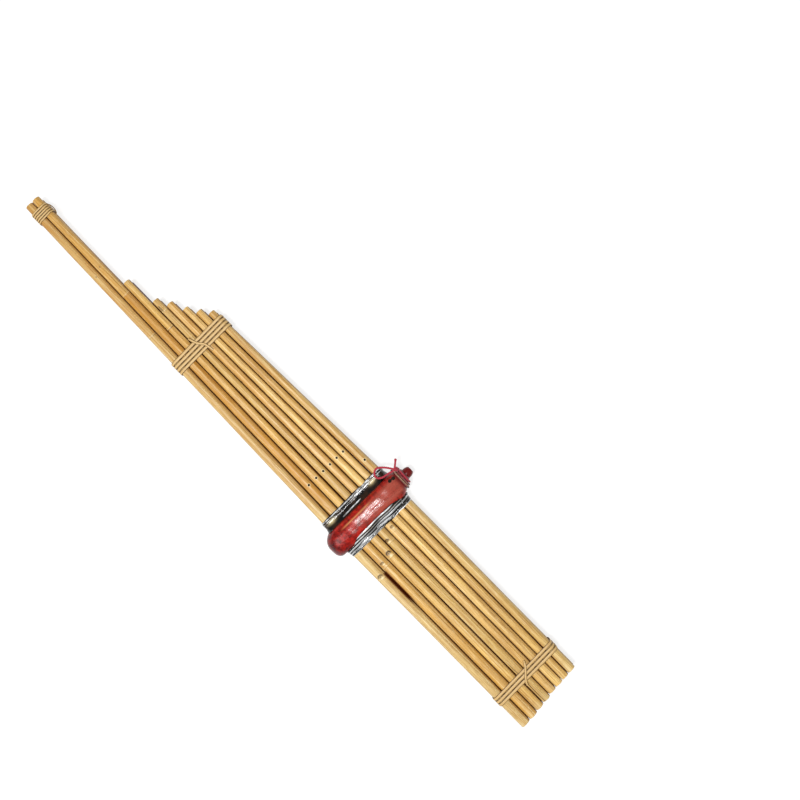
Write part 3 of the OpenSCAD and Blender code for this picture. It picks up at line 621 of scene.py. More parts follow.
chest_columns = 96
chest_xs = list(-round_x - (closed_end - round_x) * np.cos(np.radians(np.linspace(5, 90, 30))))
chest_xs += list(np.linspace(-round_x, fall_foot_x, 60)[1:]) + list(np.linspace(fall_foot_x, mouth_end, 22)[1:])
rings = [chest_ring(x, chest_columns) for x in chest_xs]
shoulder = rings[-1].copy()
turns = 2 * math.pi * (np.arange(chest_columns) + 0.5) / chest_columns
circle = np.stack([0 * turns, np.sin(turns), np.cos(turns)], 1)
mouth_middle = np.array([0, mouth_y, chest_z])
for share in (0.35, 0.7, 1.0):
    ring = shoulder * (1 - share) + (circle * knob_d / 2 + mouth_middle + [mouth_end, 0, 0]) * share
    ring[:, 0] = mouth_end + 0.35 * math.sqrt(1 - (1 - share) ** 2)
    rings.append(ring)
for t in np.linspace(0.08, 1, 14):
    r = knob_d / 2 * (1 - (0.88 * t) ** 2.8) ** (1 / 2.2)
    rings.append(circle * r + mouth_middle + [mouth_end + knob_l * t, 0, 0])
tip = mouth_end + knob_l
for r, x in ((mouth_d / 2 + 0.12, tip), (mouth_d / 2, tip - 0.15), (mouth_d / 2, 42.5)):
    rings.append(circle * r + mouth_middle + [x, 0, 0])
chest = outwards(skin("wind_chest_lacquered", rings))

slot = outline(corners(pipes - 1, 0, 0), slot_side, slot_end_share)
slot_rings = [np.stack([slot[:, 0], np.full(len(slot), y), slot[:, 1]], 1) for y in (-20.0, 20.0)]
carve(
    chest,
    [
        block((-60, land_top, -5), (57, 30, 60)),
        block((-60, -30, -5), (57, -land_foot, 60)),
        block((-60, -30, -5), (57, 30, 0)),
        outwards(skin("cutter", slot_rings)),
    ],
)
soften(chest, 40)

lacquer, tree = blank_material("red_lacquer_on_carved_hardwood")
coords = add(tree, "ShaderNodeTexCoord").outputs["Object"]
grain_map = add(tree, "ShaderNodeMapping", {0: coords, 3: (0.06, 1.0, 1.0)})
grain = add(tree, "ShaderNodeTexNoise", {0: grain_map.outputs[0], "Scale": 900, "Detail": 5, "Roughness": 0.62})
streak_map = add(tree, "ShaderNodeMapping", {0: coords, 3: (0.12, 1.0, 0.6)})
streaks = add(tree, "ShaderNodeTexNoise", {0: streak_map.outputs[0], "Scale": 260, "Detail": 6, "Roughness": 0.6})
mottle = add(tree, "ShaderNodeTexNoise", {0: coords, "Scale": 210, "Detail": 6, "Roughness": 0.65})
place = add(tree, "ShaderNodeSeparateXYZ", {0: coords})
to_mouth = add(tree, "ShaderNodeMapRange", {0: place.outputs[0], 1: -0.030, 2: 0.024, 3: 0.0, 4: 1.0}, interpolation_type="SMOOTHSTEP")
# Painted shade over the rounded closed end, where the form turns away
to_closed = add(tree, "ShaderNodeMapRange", {0: place.outputs[0], 1: -0.030, 2: -0.052, 3: 0.0, 4: 1.0}, interpolation_type="SMOOTHSTEP")
height = add(tree, "ShaderNodeMath", {0: place.outputs[1]}, operation="ABSOLUTE")
# Painted shade along the upper and lower shoulders, where the form turns away
edge = add(tree, "ShaderNodeMapRange", {0: height.outputs[0], 1: 0.0118, 2: 0.0140, 3: 0.0, 4: 0.8}, interpolation_type="SMOOTHSTEP")
# Painted shade towards the neck and over the mouthpiece, where the form falls away
neck = add(tree, "ShaderNodeMapRange", {0: place.outputs[0], 1: 0.043, 2: 0.049, 3: 0.0, 4: 0.9}, interpolation_type="SMOOTHSTEP")
crown = add(tree, "ShaderNodeMapRange", {0: height.outputs[0], 1: 0.0065, 2: 0.0115, 3: 0.0, 4: 1.0}, interpolation_type="SMOOTHSTEP")
worn = add(tree, "ShaderNodeMath", {0: to_mouth.outputs[0], 1: crown.outputs[0]}, operation="SUBTRACT", use_clamp=True)
worn = add(tree, "ShaderNodeMath", {0: worn.outputs[0], 1: streaks.outputs[0]}, operation="MULTIPLY")
worn = add(tree, "ShaderNodeMath", {0: worn.outputs[0], 1: 1.55}, operation="MULTIPLY", use_clamp=True)
mottle_share = add(tree, "ShaderNodeMapRange", {0: mottle.outputs[0], 1: 0.36, 2: 0.64, 3: 0.0, 4: 1.0})
tone = add(tree, "ShaderNodeMix", {0: mottle_share.outputs[0], 6: linear("#BE2216"), 7: linear("#620C09")}, data_type="RGBA")
tone = add(tree, "ShaderNodeMix", {0: worn.outputs[0], 6: tone.outputs[2], 7: linear("#AE5444")}, data_type="RGBA")
dark_spots = add(tree, "ShaderNodeMapRange", {0: mottle.outputs[0], 1: 0.40, 2: 0.62, 3: 0.45, 4: 1.0})
closed_end_shade = add(tree, "ShaderNodeMath", {0: to_closed.outputs[0], 1: dark_spots.outputs[0]}, operation="MULTIPLY")
# The painted shade goes in: the closed end, broken by the mottle, then the neck and the shoulders
tone = add(tree, "ShaderNodeMix", {0: closed_end_shade.outputs[0], 6: tone.outputs[2], 7: linear("#3E0608")}, data_type="RGBA")
tone = add(tree, "ShaderNodeMix", {0: neck.outputs[0], 6: tone.outputs[2], 7: linear("#6A0C10")}, data_type="RGBA")
tone = add(tree, "ShaderNodeMix", {0: edge.outputs[0], 6: tone.outputs[2], 7: linear("#4E0A08")}, data_type="RGBA")
line_share = add(tree, "ShaderNodeMapRange", {0: streaks.outputs[0], 1: 0.60, 2: 0.72, 3: 0.0, 4: 0.75})
line_share = add(tree, "ShaderNodeMath", {0: line_share.outputs[0], 1: crown.outputs[0]}, operation="MULTIPLY")
tone = add(tree, "ShaderNodeMix", {0: line_share.outputs[0], 6: tone.outputs[2], 7: linear("#4A0A0A")}, data_type="RGBA")
pores = add(tree, "ShaderNodeTexNoise", {0: coords, "Scale": 1500, "Detail": 4, "Roughness": 0.7})
pore_share = add(tree, "ShaderNodeMapRange", {0: pores.outputs[0], 1: 0.52, 2: 0.66, 3: 0.0, 4: 0.6})
tone = add(tree, "ShaderNodeMix", {0: pore_share.outputs[0], 6: tone.outputs[2], 7: linear("#3E0706")}, data_type="RGBA")
chafe = add(tree, "ShaderNodeAttribute", attribute_name="chafe")
chafe_share = add(tree, "ShaderNodeMath", {0: chafe.outputs["Fac"], 1: streaks.outputs[0]}, operation="MULTIPLY")
chafe_share = add(tree, "ShaderNodeMath", {0: chafe_share.outputs[0], 1: 1.6}, operation="MULTIPLY", use_clamp=True)
tone = add(tree, "ShaderNodeMix", {0: chafe_share.outputs[0], 6: tone.outputs[2], 7: linear("#D89A5E")}, data_type="RGBA")
rough = add(tree, "ShaderNodeMapRange", {0: streaks.outputs[0], 1: 0.3, 2: 0.7, 3: 0.14, 4: 0.30})
relief = add(tree, "ShaderNodeBump", {"Height": grain.outputs[0], "Strength": 0.45, "Distance": 0.00012})
relief = add(tree, "ShaderNodeBump", {"Height": streaks.outputs[0], "Strength": 0.5, "Distance": 0.0006, "Normal": relief.outputs[0]})
shell = add(
    tree,
    "ShaderNodeBsdfPrincipled",
    {
        "Base Color": tone.outputs[2],
        "Roughness": rough.outputs[0],
        "IOR": 1.4,
        "Specular IOR Level": 0.4,
        "Normal": relief.outputs[0],
    },
)
add(tree, "ShaderNodeOutputMaterial", {0: shell.outputs[0]})
# Along the upper shoulder the lacquer has chafed through to the wood in a thin line
co = points_of(chest)
line = np.exp(-(((co[:, 1] - 7.4) / 0.55) ** 2)) * smooth_step(-np.abs(co[:, 0] + 9), -24, -14)
store(chest, "chafe", line * (co[:, 2] > chest_z))
chest.data.materials.clear()
chest.data.materials.append(lacquer)
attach(chest, "khene")
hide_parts("wind_chest")

# The wax: black insect wax, warmed and pressed round the pipes above and below the chest with wet fingers,
# with plugs between the pipes down in the slot. It is glossy and drawn into long ridges across the instrument;
# its crests carry a near-white painted highlight, on the upper collar mostly near the rim. The lower collar laps
# over the chest's edge.
wax_top, wax_foot, wax_plug = 26.0, 22.0, 3.6
wax_spread, wax_end_share, wax_rim, wax_clear = 4.6, 0.5, 0.9, 0.12
lap_y, lap_back, lap_t, lap_from, lap_to = 8.9, 1.6, 1.0, -32.0, 36.0
wax_columns = 300
ridge_gap, ridge_high = 2.9, 0.95
pack = corners(pipes - 1, 0, 0)


def chest_surface(x, y):
    """Half depth of the carved form at x and y."""
    e = square(x)
    crown = crown_above(x) if y > 0 else crown_below(x)
    return half_deep(x) * max(0, 1 - min(1, abs(y) / crown) ** e) ** (1 / e)


def side_of(z):
    """1 on the front, -1 on the back and something between round the ends."""
    return max(-1.0, min(1.0, (z - chest_z) / 9))


def ridges(x, y, s, way):
    """The wax's long ridges, drawn along x by wet fingers: 1 on a crest and 0 in a furrow."""
    drift = 2.2 * noise.noise(Vector((x * 0.028, s * 0.9, way * 5.0)))
    drift += 0.7 * noise.noise(Vector((x * 0.09, s * 1.3, way * 2.0)))
    phase = (abs(y) + drift) / ridge_gap
    crest = (1 - abs(2 * (phase % 1) - 1)) ** 1.5
    reach = 0.55 + 0.9 * noise.noise(Vector((x * 0.05, math.floor(phase) * 3.7, s * 0.8 + way * 9.0)))
    return crest * max(0.1, min(1.0, reach))


# Lumps at the collar's corners, as x, y, z sign, radius and height
lumps = [(-39.5, -18.5, 1, 3.0, 1.1), (37.5, -16.0, 1, 3.2, 0.9), (33.5, -19.0, 1, 2.0, 0.7), (-40.5, 22.5, 1, 2.6, 0.8)]


def pressed(x, y, z, way):
    """How far the wax stands out at a point: its ridges, its lumps and a slow unevenness."""
    s = side_of(z)
    land = land_top if way > 0 else land_foot
    t = (abs(y) - land) / ((wax_top if way > 0 else wax_foot) - land)
    depth = float(smooth_step(t, 0.45, 0.75)) if way > 0 else 1.0
    out = ridge_high * (ridges(x, y, s, way) * (0.25 + 0.75 * depth) - 0.35)
    out += 0.35 * noise.noise(Vector((x * 0.05, y * 0.15, 11.0 + way + 0.7 * s)))
    for lx, ly, ls, r, high in lumps:
        if ls * s > 0.5 and ly * way > 0:
            out += high * math.exp(-(((x - lx) / r) ** 2) - (((y - ly) / r) ** 2))
    return out


def wax_collar(name, way, land, rim, lap):
    """A collar from the land to its rim, with its plug in the slot; way is 1 above the chest and -1 below."""
    def loop(grow, y, share=wax_end_share):
        line = spread_evenly(outline(pack, grow, share), wax_columns)
        return np.stack([line[:, 0], np.full(wax_columns, way * y), line[:, 1]], 1), line[:, 2:]

    plug, _ = loop(slot_side - 0.1, land - wax_plug, slot_end_share)
    rings = [plug, plug + [0, way * (wax_plug + 0.02), 0]]
    foot, _ = loop(wax_spread, land + 0.02)
    if lap:
        rows_under, rows_over = [], []
        steps = 12
        for k in range(steps + 1):
            t = k / steps
            under, over = foot.copy(), foot.copy()
            for j, (x, _, z) in enumerate(foot):
                s = 1 if z > chest_z else -1
                share = abs(2 * x - lap_from - lap_to) / (lap_to - lap_from)
                ends = abs(z - chest_z) < 13.0
                if share >= 1 or ends:
                    continue
                wave = 0.9 * noise.noise(Vector((x * 0.07, s * 3.0, 2.0)))
                y_edge = lap_y + (0 if s > 0 else lap_back) + wave
                y_edge += (land - 0.6 - y_edge) * share**5
                y = y_edge + (land - y_edge) * t
                deep = chest_surface(x, -y)
                thick = lap_t * min(1.0, 0.12 + 2.2 * t) * (1 - share**8)
                top = thick * 0.75 + min(1.0, 4 * t + 0.15) * (1 - share**8) * pressed(x, -y, z, way)
                limit = (chest_half_z + 0.25 if s > 0 else chest_half_z - 0.65) - deep
                under[j] = (x, -y, chest_z + s * (deep + 0.05))
                over[j] = (x, -y - 0.5 * top, chest_z + s * (deep + min(limit, max(0.1, top))))
            rows_under.append(under)
            rows_over.append(over)
        rings += rows_under[::-1] + rows_over
    steps = 26
    for k in range(steps + 1):
        t = k / steps
        y = land + (rim - land) * t
        grow = wax_rim + (wax_spread - wax_rim) * (1 - t) ** 2.2
        if way > 0:
            grow += 0.5 * math.exp(-(((t - 0.82) / 0.12) ** 2)) - 0.35 * math.exp(-(((t - 0.45) / 0.2) ** 2))
        else:
            grow += 0.5 * math.sin(3 * math.pi * t) ** 2
        ring, facing = loop(grow, y)
        push = np.array([pressed(x, way * y, z, way) for x, _, z in ring]) * (1 - 0.25 * t)
        push = np.maximum(push, 0.25 - grow)
        dy = np.array([noise.noise(Vector((x * 0.09, z * 0.09, 4.0 + way))) for x, _, z in ring]) * 0.9 * t
        ring[:, 0] += facing[:, 0] * push
        ring[:, 2] += facing[:, 1] * push
        ring[:, 1] += way * dy
        if k == 0:
            ring[:, 1] = way * (land + 0.02)
            if lap:
                for j in range(wax_columns):
                    if not np.allclose(rows_over[-1][j], foot[j]):
                        ring[j, 1] = -land - 0.7
        rings.append(ring)
    collar = outwards(skin(name, rings), 1e-6)
    holes = []
    for i in range(pipes):
        for s in (1, -1):
            x, z = axis_at(i, s, 0)
            r = low_d[i] / 2 + wax_clear
            turn = np.linspace(0, 2 * math.pi, 48, endpoint=False)
            rod = [np.stack([x + r * np.cos(turn), np.full(48, y), z + r * np.sin(turn)], 1) for y in (-40.0, 40.0)]
            holes.append(outwards(skin("cutter", rod)))
    carve(collar, holes)
    soften(collar, 60)
    co = points_of(collar)
    # The crests that take the painted highlight: on the upper collar mostly near its rim, with a thin painted highlight
    # line on its front near the chest
    crest = np.array([ridges(x, y, side_of(z), way) for x, y, z in co])
    if way > 0:
        crest *= 0.15 + 0.85 * smooth_step(co[:, 1], land + (rim - land) * 0.5, land + (rim - land) * 0.75)
        line = np.exp(-(((co[:, 1] - 16.2 - 0.03 * co[:, 0]) / 0.45) ** 2)) * smooth_step(-np.abs(co[:, 0] + 7), -16, -8)
        crest = np.maximum(crest, line * (co[:, 2] > chest_z))
    store(collar, "crest", crest)
    glint = np.zeros(len(co))
    for x, y in ((-32.0, 20.5), (27.0, 20.5)):
        glint = np.maximum(glint, np.exp(-(((co[:, 0] - x) / 4.5) ** 2) - (((co[:, 1] - y) / 2.2) ** 2)))
    store(collar, "glint", glint * (way > 0))
    return collar


wax, tree = blank_material("black_insect_wax_pressed")
coords = add(tree, "ShaderNodeTexCoord").outputs["Object"]
drawn = add(tree, "ShaderNodeMapping", {0: coords, 3: (0.09, 1.0, 0.35)})
streaks = add(tree, "ShaderNodeTexNoise", {0: drawn.outputs[0], "Scale": 520, "Detail": 2, "Roughness": 0.5})
lumpy = add(tree, "ShaderNodeTexNoise", {0: coords, "Scale": 170, "Detail": 4})
crest = add(tree, "ShaderNodeAttribute", attribute_name="crest")
glint = add(tree, "ShaderNodeAttribute", attribute_name="glint")
# Painted highlight: the crests are coloured near white, broken by the streaks
raised = add(tree, "ShaderNodeMapRange", {0: crest.outputs["Fac"], 1: 0.13, 2: 0.42, 3: 0.0, 4: 1.0})
streaked = add(tree, "ShaderNodeMapRange", {0: streaks.outputs[0], 1: 0.36, 2: 0.52, 3: 0.4, 4: 1.0})
crest_highlight = add(tree, "ShaderNodeMath", {0: raised.outputs[0], 1: streaked.outputs[0]}, operation="MULTIPLY")
tone = add(tree, "ShaderNodeMix", {0: crest_highlight.outputs[0], 6: linear("#050505"), 7: linear("#F0F4F6")}, data_type="RGBA")
place = add(tree, "ShaderNodeSeparateXYZ", {0: coords})
upper = add(tree, "ShaderNodeMapRange", {0: place.outputs[1], 1: 0.0, 2: 0.01, 3: 0.35, 4: 1.0})
warm_share = add(tree, "ShaderNodeMapRange", {0: lumpy.outputs[0], 1: 0.42, 2: 0.62, 3: 0.0, 4: 0.85})
warm_share = add(tree, "ShaderNodeMath", {0: warm_share.outputs[0], 1: upper.outputs[0]}, operation="MULTIPLY")
tone = add(tree, "ShaderNodeMix", {0: warm_share.outputs[0], 6: tone.outputs[2], 7: linear("#2E1B0A")}, data_type="RGBA")
glint_share = add(tree, "ShaderNodeMath", {0: glint.outputs["Fac"], 1: streaked.outputs[0]}, operation="MULTIPLY")
tone = add(tree, "ShaderNodeMix", {0: glint_share.outputs[0], 6: tone.outputs[2], 7: linear("#D6C28E")}, data_type="RGBA")
rough = add(tree, "ShaderNodeMapRange", {0: lumpy.outputs[0], 1: 0.3, 2: 0.7, 3: 0.12, 4: 0.28})
relief = add(tree, "ShaderNodeBump", {"Height": streaks.outputs[0], "Strength": 0.7, "Distance": 0.0005})
relief = add(tree, "ShaderNodeBump", {"Height": lumpy.outputs[0], "Strength": 0.6, "Distance": 0.0008, "Normal": relief.outputs[0]})
shell = add(
    tree,
    "ShaderNodeBsdfPrincipled",
    {"Base Color": tone.outputs[2], "Roughness": rough.outputs[0], "IOR": 1.44, "Normal": relief.outputs[0]},
)
add(tree, "ShaderNodeOutputMaterial", {0: shell.outputs[0]})

for name, node, way, land, rim_y, lap in (
    ("upper_wax_collar", "upper_wax", 1, land_top, wax_top, False),
    ("lower_wax_collar", "lower_wax", -1, land_foot, wax_foot, True),
):
    collar = wax_collar(name, way, land, rim_y, lap)
    collar.data.materials.clear()
    collar.data.materials.append(wax)
    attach(collar, "khene")
    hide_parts(node)

# Two dabs of the same wax, pressed on the chest beside the neck: round, domed and thin at their edges
dab_r, dab_high = 2.0, 0.7
for number, (x, y) in enumerate(((40.8, 8.4), (44.9, 7.8)), 1):
    rings = []
    for r, lift in ((1.0, -0.4), (1.0, 0.05), (0.93, 0.4), (0.75, 0.75), (0.45, 0.95), (0.08, 1.0)):
        ring = []
        for a in np.linspace(0, 2 * math.pi, 32, endpoint=False):
            reach = dab_r * r * (1 + 0.05 * math.sin(2 * a + number))
            px, py = x + reach * math.cos(a), y + reach * math.sin(a)
            ring.append((px, py, chest_z + chest_surface(px, py) + dab_high * lift))
        rings.append(np.array(ring))
    dab = outwards(skin(f"wax_dab_{number}", rings))
    dab.data.shade_smooth()
    dab.data.materials.append(wax)
    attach(dab, "khene")

# The bindings: split cane soaked and wound tight round the pack near its tops, below the lowest tops and at
# its feet, with the end tucked slantwise over its own turns. The cane is straw-coloured with a rounded back and
# fine fibres along it, with painted shade along the edges of each strand, where the turns meet.
cane_w, cane_t, cane_clear, cane_pitch = 3.2, 1.0, 0.3, 4.1
cane_off = cane_clear + cane_t / 2

split_cane, tree = blank_material("split_cane_satin")
length = add(tree, "ShaderNodeAttribute", attribute_name="along")
across = add(tree, "ShaderNodeAttribute", attribute_name="across")
flat = add(tree, "ShaderNodeCombineXYZ", {0: length.outputs["Fac"], 1: across.outputs["Fac"], 2: 0.0})
fibre_map = add(tree, "ShaderNodeMapping", {0: flat.outputs[0], 3: (60.0, 22.0, 1.0)})
fibres = add(tree, "ShaderNodeTexNoise", {0: fibre_map.outputs[0], "Scale": 1.0, "Detail": 4})
patch_map = add(tree, "ShaderNodeMapping", {0: flat.outputs[0], 3: (45.0, 1.0, 1.0)})
patches = add(tree, "ShaderNodeTexNoise", {0: patch_map.outputs[0], "Scale": 1.0, "Detail": 3})
tone = add(tree, "ShaderNodeMix", {0: patches.outputs[0], 6: linear("#EBCB8C"), 7: linear("#CFA362")}, data_type="RGBA")
fibre_share = add(tree, "ShaderNodeMapRange", {0: fibres.outputs[0], 1: 0.45, 2: 0.7, 3: 0.0, 4: 0.5})
tone = add(tree, "ShaderNodeMix", {0: fibre_share.outputs[0], 6: tone.outputs[2], 7: linear("#9C7438")}, data_type="RGBA")
# Painted shade along the strand's edges, where neighbouring turns meet
edge = add(tree, "ShaderNodeMath", {0: across.outputs["Fac"]}, operation="ABSOLUTE")
edge_shade_share = add(tree, "ShaderNodeMapRange", {0: edge.outputs[0], 1: 0.45, 2: 0.92, 3: 0.0, 4: 0.95})
tone = add(tree, "ShaderNodeMix", {0: edge_shade_share.outputs[0], 6: tone.outputs[2], 7: linear("#4E3012")}, data_type="RGBA")
rough = add(tree, "ShaderNodeMapRange", {0: fibres.outputs[0], 3: 0.36, 4: 0.6})
relief = add(tree, "ShaderNodeBump", {"Height": fibres.outputs[0], "Strength": 0.5, "Distance": 0.0001})
shell = add(
    tree,
    "ShaderNodeBsdfPrincipled",
    {"Base Color": tone.outputs[2], "Roughness": rough.outputs[0], "IOR": 1.48, "Normal": relief.outputs[0]},
)
add(tree, "ShaderNodeOutputMaterial", {0: shell.outputs[0]})

# One tree carries every strand: a rounded section along a line of points, with its back turned outwards
strand_tree = bpy.data.node_groups.new("cane_strand", "GeometryNodeTree")
strand_tree.interface.new_socket("Line", in_out="INPUT", socket_type="NodeSocketGeometry")
strand_tree.interface.new_socket("Cane width", in_out="INPUT", socket_type="NodeSocketFloat")
strand_tree.interface.new_socket("Cane thickness", in_out="INPUT", socket_type="NodeSocketFloat")
strand_tree.interface.new_socket("Finish", in_out="INPUT", socket_type="NodeSocketMaterial")
strand_tree.interface.new_socket("Strand", in_out="OUTPUT", socket_type="NodeSocketGeometry")
given = add(strand_tree, "NodeGroupInput").outputs
line = add(strand_tree, "GeometryNodeMeshToCurve", {0: given["Line"]})
far = add(strand_tree, "GeometryNodeSplineParameter")
line = add(
    strand_tree,
    "GeometryNodeStoreNamedAttribute",
    {"Geometry": line.outputs[0], "Name": "along", "Value": far.outputs["Length"]},
)
back = add(strand_tree, "GeometryNodeInputNamedAttribute", {"Name": "back"}, data_type="FLOAT_VECTOR")
line = add(
    strand_tree,
    "GeometryNodeSetCurveNormal",
    {"Curve": line.outputs[0], "Normal": back.outputs[0]},
    mode="FREE",
)
ring = add(strand_tree, "GeometryNodeCurvePrimitiveCircle", {"Resolution": 16, "Radius": 1.0})
spot = add(strand_tree, "GeometryNodeInputPosition")
parts = add(strand_tree, "ShaderNodeSeparateXYZ", {0: spot.outputs[0]})
ring = add(
    strand_tree,
    "GeometryNodeStoreNamedAttribute",
    {"Geometry": ring.outputs[0], "Name": "across", "Value": parts.outputs[1]},
)
half_w = add(strand_tree, "ShaderNodeMath", {0: given["Cane width"], 1: 0.5}, operation="MULTIPLY")
half_t = add(strand_tree, "ShaderNodeMath", {0: given["Cane thickness"], 1: 0.5}, operation="MULTIPLY")
scale = add(strand_tree, "ShaderNodeCombineXYZ", {0: half_t.outputs[0], 1: half_w.outputs[0], 2: 1.0})
ring = add(strand_tree, "GeometryNodeTransform", {"Geometry": ring.outputs[0], "Scale": scale.outputs[0]})
tube = add(
    strand_tree,
    "GeometryNodeCurveToMesh",
    {"Curve": line.outputs[0], "Profile Curve": ring.outputs[0], "Fill Caps": True},
)
real = add(strand_tree, "GeometryNodeRealizeInstances", {0: tube.outputs[0]})
done = add(strand_tree, "GeometryNodeSetMaterial", {"Geometry": real.outputs[0], "Material": given["Finish"]})
add(strand_tree, "NodeGroupOutput", {0: done.outputs[0]})


def carry(name, tree, path, backs, inputs, frayed=0.0):
    """A tree's strand along a path in millimetres; backs are the ways that its outer face looks.

    Where it is frayed, the strands of a cord part over its last few millimetres."""
    mesh = bpy.data.meshes.new(name)
    mesh.from_pydata((np.array(path) * MM).tolist(), [(k, k + 1) for k in range(len(path) - 1)], [])
    mesh.attributes.new("back", "FLOAT_VECTOR", "POINT").data.foreach_set("vector", np.ravel(backs))
    left = np.array([np.linalg.norm(np.array(path[-1]) - p) for p in np.array(path)])
    fray = 1 + frayed * smooth_step(-left, -4.0, 0.0)
    mesh.attributes.new("fray", "FLOAT", "POINT").data.foreach_set("value", fray)
    obj = bpy.data.objects.new(name, mesh)
    bpy.context.scene.collection.objects.link(obj)
    step = obj.modifiers.new("strand", "NODES")
    step.node_group = tree
    for socket in tree.interface.items_tree:
        if socket.in_out == "INPUT" and socket.name in inputs:
            step[socket.identifier] = inputs[socket.name]
    bpy.context.view_layer.update()
    made = bpy.data.meshes.new_from_object(obj.evaluated_get(bpy.context.evaluated_depsgraph_get()))
    obj.modifiers.clear()
    obj.data = made
    outwards(obj)
    obj.data.shade_smooth()
    return obj


def wind(line, y, pitch, turns, seed, slack=0.25):
    """A winding round an outline of x, z and facing, climbing evenly; it strays a little, as by hand."""
    loop = spread_evenly(np.roll(line, -3 * (len(line) // 4), axis=0), 96)
    path, backs = [], []
    for k in range(-4, turns * 96 + 5):
        x, z, fx, fz = loop[k % 96]
        stray = slack * noise.noise(Vector((k / 40, seed, 0)))
        path.append((x, y + pitch * k / 96 + stray, z))
        backs.append((fx, 0, fz))
    return path, backs


def cane(name, path, backs, width, node=None):
    """A cane strand as a finished piece on the instrument."""
    sizes = {"Cane width": width * MM, "Cane thickness": cane_t * MM, "Finish": split_cane}
    strand = carry(name, strand_tree, path, backs, sizes)
    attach(strand, "khene")
    if node:
        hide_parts(node)
    return strand


foot_bind_y, mid_turns, foot_turns = -240.0, 4, 3
top_w, top_pitch, top_turns, top_bind_y = 2.1, 2.65, 5, 455.0
fuller = 0.45
mid_line = outline(corners(pipes - 1, 0, mid_y - cane_w), cane_off)
foot_line = outline(pack, cane_off)
top_line = outline(corners(pipes - 1, pipes - 2, top_bind_y + top_turns * top_pitch / 2), cane_off)
cane("middle_cane", *wind(mid_line, mid_y, cane_pitch, mid_turns, 1.0), cane_w + fuller, "middle_binding")
cane("foot_cane", *wind(foot_line, foot_bind_y, cane_pitch, foot_turns, 5.0), cane_w + fuller, "foot_binding")
top_path, top_backs = wind(top_line, top_bind_y, top_pitch, top_turns, 9.0, 0.1)
cane("top_cane", top_path, top_backs, top_w + 0.25, "top_binding")


def smooth(route, steps):
    """A smooth curve through the route's points."""
    route = [np.array(p, float) for p in route]
    n = len(route) - 1
    path = []
    for i in range(n):
        a, b, c, d = route[max(i - 1, 0)], route[i], route[i + 1], route[min(i + 2, n)]
        for k in range(steps):
            t = k / steps
            bend = (2 * a - 5 * b + 4 * c - d) * t * t + (3 * b - a - 3 * c + d) * t**3
            path.append(0.5 * (2 * b + (c - a) * t + bend))
    return path + [route[n]]


def on_pipe(i, y):
    """The z of a strand's middle on the front of pipe i at height y."""
    return axis_at(i, 1, y)[1] + pipe_r(i, y) + cane_off


# Each end crosses its own turns on the slant, and goes down between the pipes and the turns at both sides
lie = 2 * cane_clear + 1.5 * cane_t - cane_off
left, right = pipes // 2, pipes // 2 - 1
mid_flat = max(on_pipe(left, mid_y), on_pipe(right, mid_y)) + lie
foot_flat = max(on_pipe(left, -200), on_pipe(right, -200)) + lie
middle_end = [
    (-5.6, 261.2, on_pipe(left, 261) - 0.1), (-5.0, 259.0, mid_flat - 0.4), (-3.9, 255.6, mid_flat + 0.1),
    (-2.3, 251.6, mid_flat + 0.15), (-0.2, 248.6, mid_flat + 0.1), (2.6, 245.2, mid_flat),
    (4.0, 240.0, mid_flat - 0.2), (4.6, 236.2, on_pipe(right, 237) + 0.2), (4.7, 234.6, on_pipe(right, 235)),
]
foot_end = [
    (8.2, -223.2, on_pipe(right, -223)), (7.2, -225.6, foot_flat - 0.5), (4.6, -229.2, foot_flat + 0.1),
    (0.6, -233.6, foot_flat + 0.15), (-3.2, -237.8, foot_flat + 0.1), (-5.6, -241.4, foot_flat - 0.3),
    (-6.6, -244.4, on_pipe(left, -244)),
]
for name, route, node in (
    ("middle_cane_end", middle_end, "middle_binding_tuck"),
    ("foot_cane_end", foot_end, "foot_binding_tuck"),
):
    path = smooth(route, 8)
    cane(name, path, [(0, 0, 1)] * len(path), 0.8 * cane_w, node)

# The top binding's end stands out as a small loop beside the turns, from below them to their upper edge
side_x = max(p[0] for p in top_path)
side_z = axis_at(pipes - 2, 1, top_bind_y)[1] + 1.5
loop_out, loop_low, loop_high = 2.6, 452.0, 465.0
path = []
for k in range(41):
    a = math.pi * (1.16 * k / 40 - 0.08)
    x = side_x - 0.2 + loop_out * math.sin(a)
    path.append((x, (loop_low + loop_high) / 2 - (loop_high - loop_low) / 2 * math.cos(a), side_z + 0.6 * k / 40))
steps = [np.subtract(path[min(k + 1, 40)], path[max(k - 1, 0)]) for k in range(41)]
backs = [(d[1], -d[0], 0.0) for d in steps]
cane("top_cane_loop", path, backs, 1.7)

# The red cord: thin and laid of three strands, wound three times round the neck, knotted in front, and tied
# in a bow that lies on the upper wax with a tail that stands off. It is darkened where hands rub it.
cord_d, cord_x, cord_pitch, cord_turns, cord_start = 2.0, 48.0, 2.45, 3, 100.0

red_cord, tree = blank_material("red_cord_laid")
length = add(tree, "ShaderNodeAttribute", attribute_name="along")
coords = add(tree, "ShaderNodeTexCoord").outputs["Object"]
fuzz = add(tree, "ShaderNodeTexNoise", {0: coords, "Scale": 2600, "Detail": 3})
patch = add(tree, "ShaderNodeTexNoise", {0: coords, "Scale": 240, "Detail": 3})
tone = add(tree, "ShaderNodeMix", {0: fuzz.outputs[0], 6: linear("#C92942"), 7: linear("#941026")}, data_type="RGBA")
dirt = add(tree, "ShaderNodeAttribute", attribute_name="dirt")
dirt_share = add(tree, "ShaderNodeMath", {0: dirt.outputs["Fac"], 1: patch.outputs[0]}, operation="MULTIPLY")
dirt_share = add(tree, "ShaderNodeMath", {0: dirt_share.outputs[0], 1: 1.7}, operation="MULTIPLY", use_clamp=True)
tone = add(tree, "ShaderNodeMix", {0: dirt_share.outputs[0], 6: tone.outputs[2], 7: linear("#3E0B12")}, data_type="RGBA")
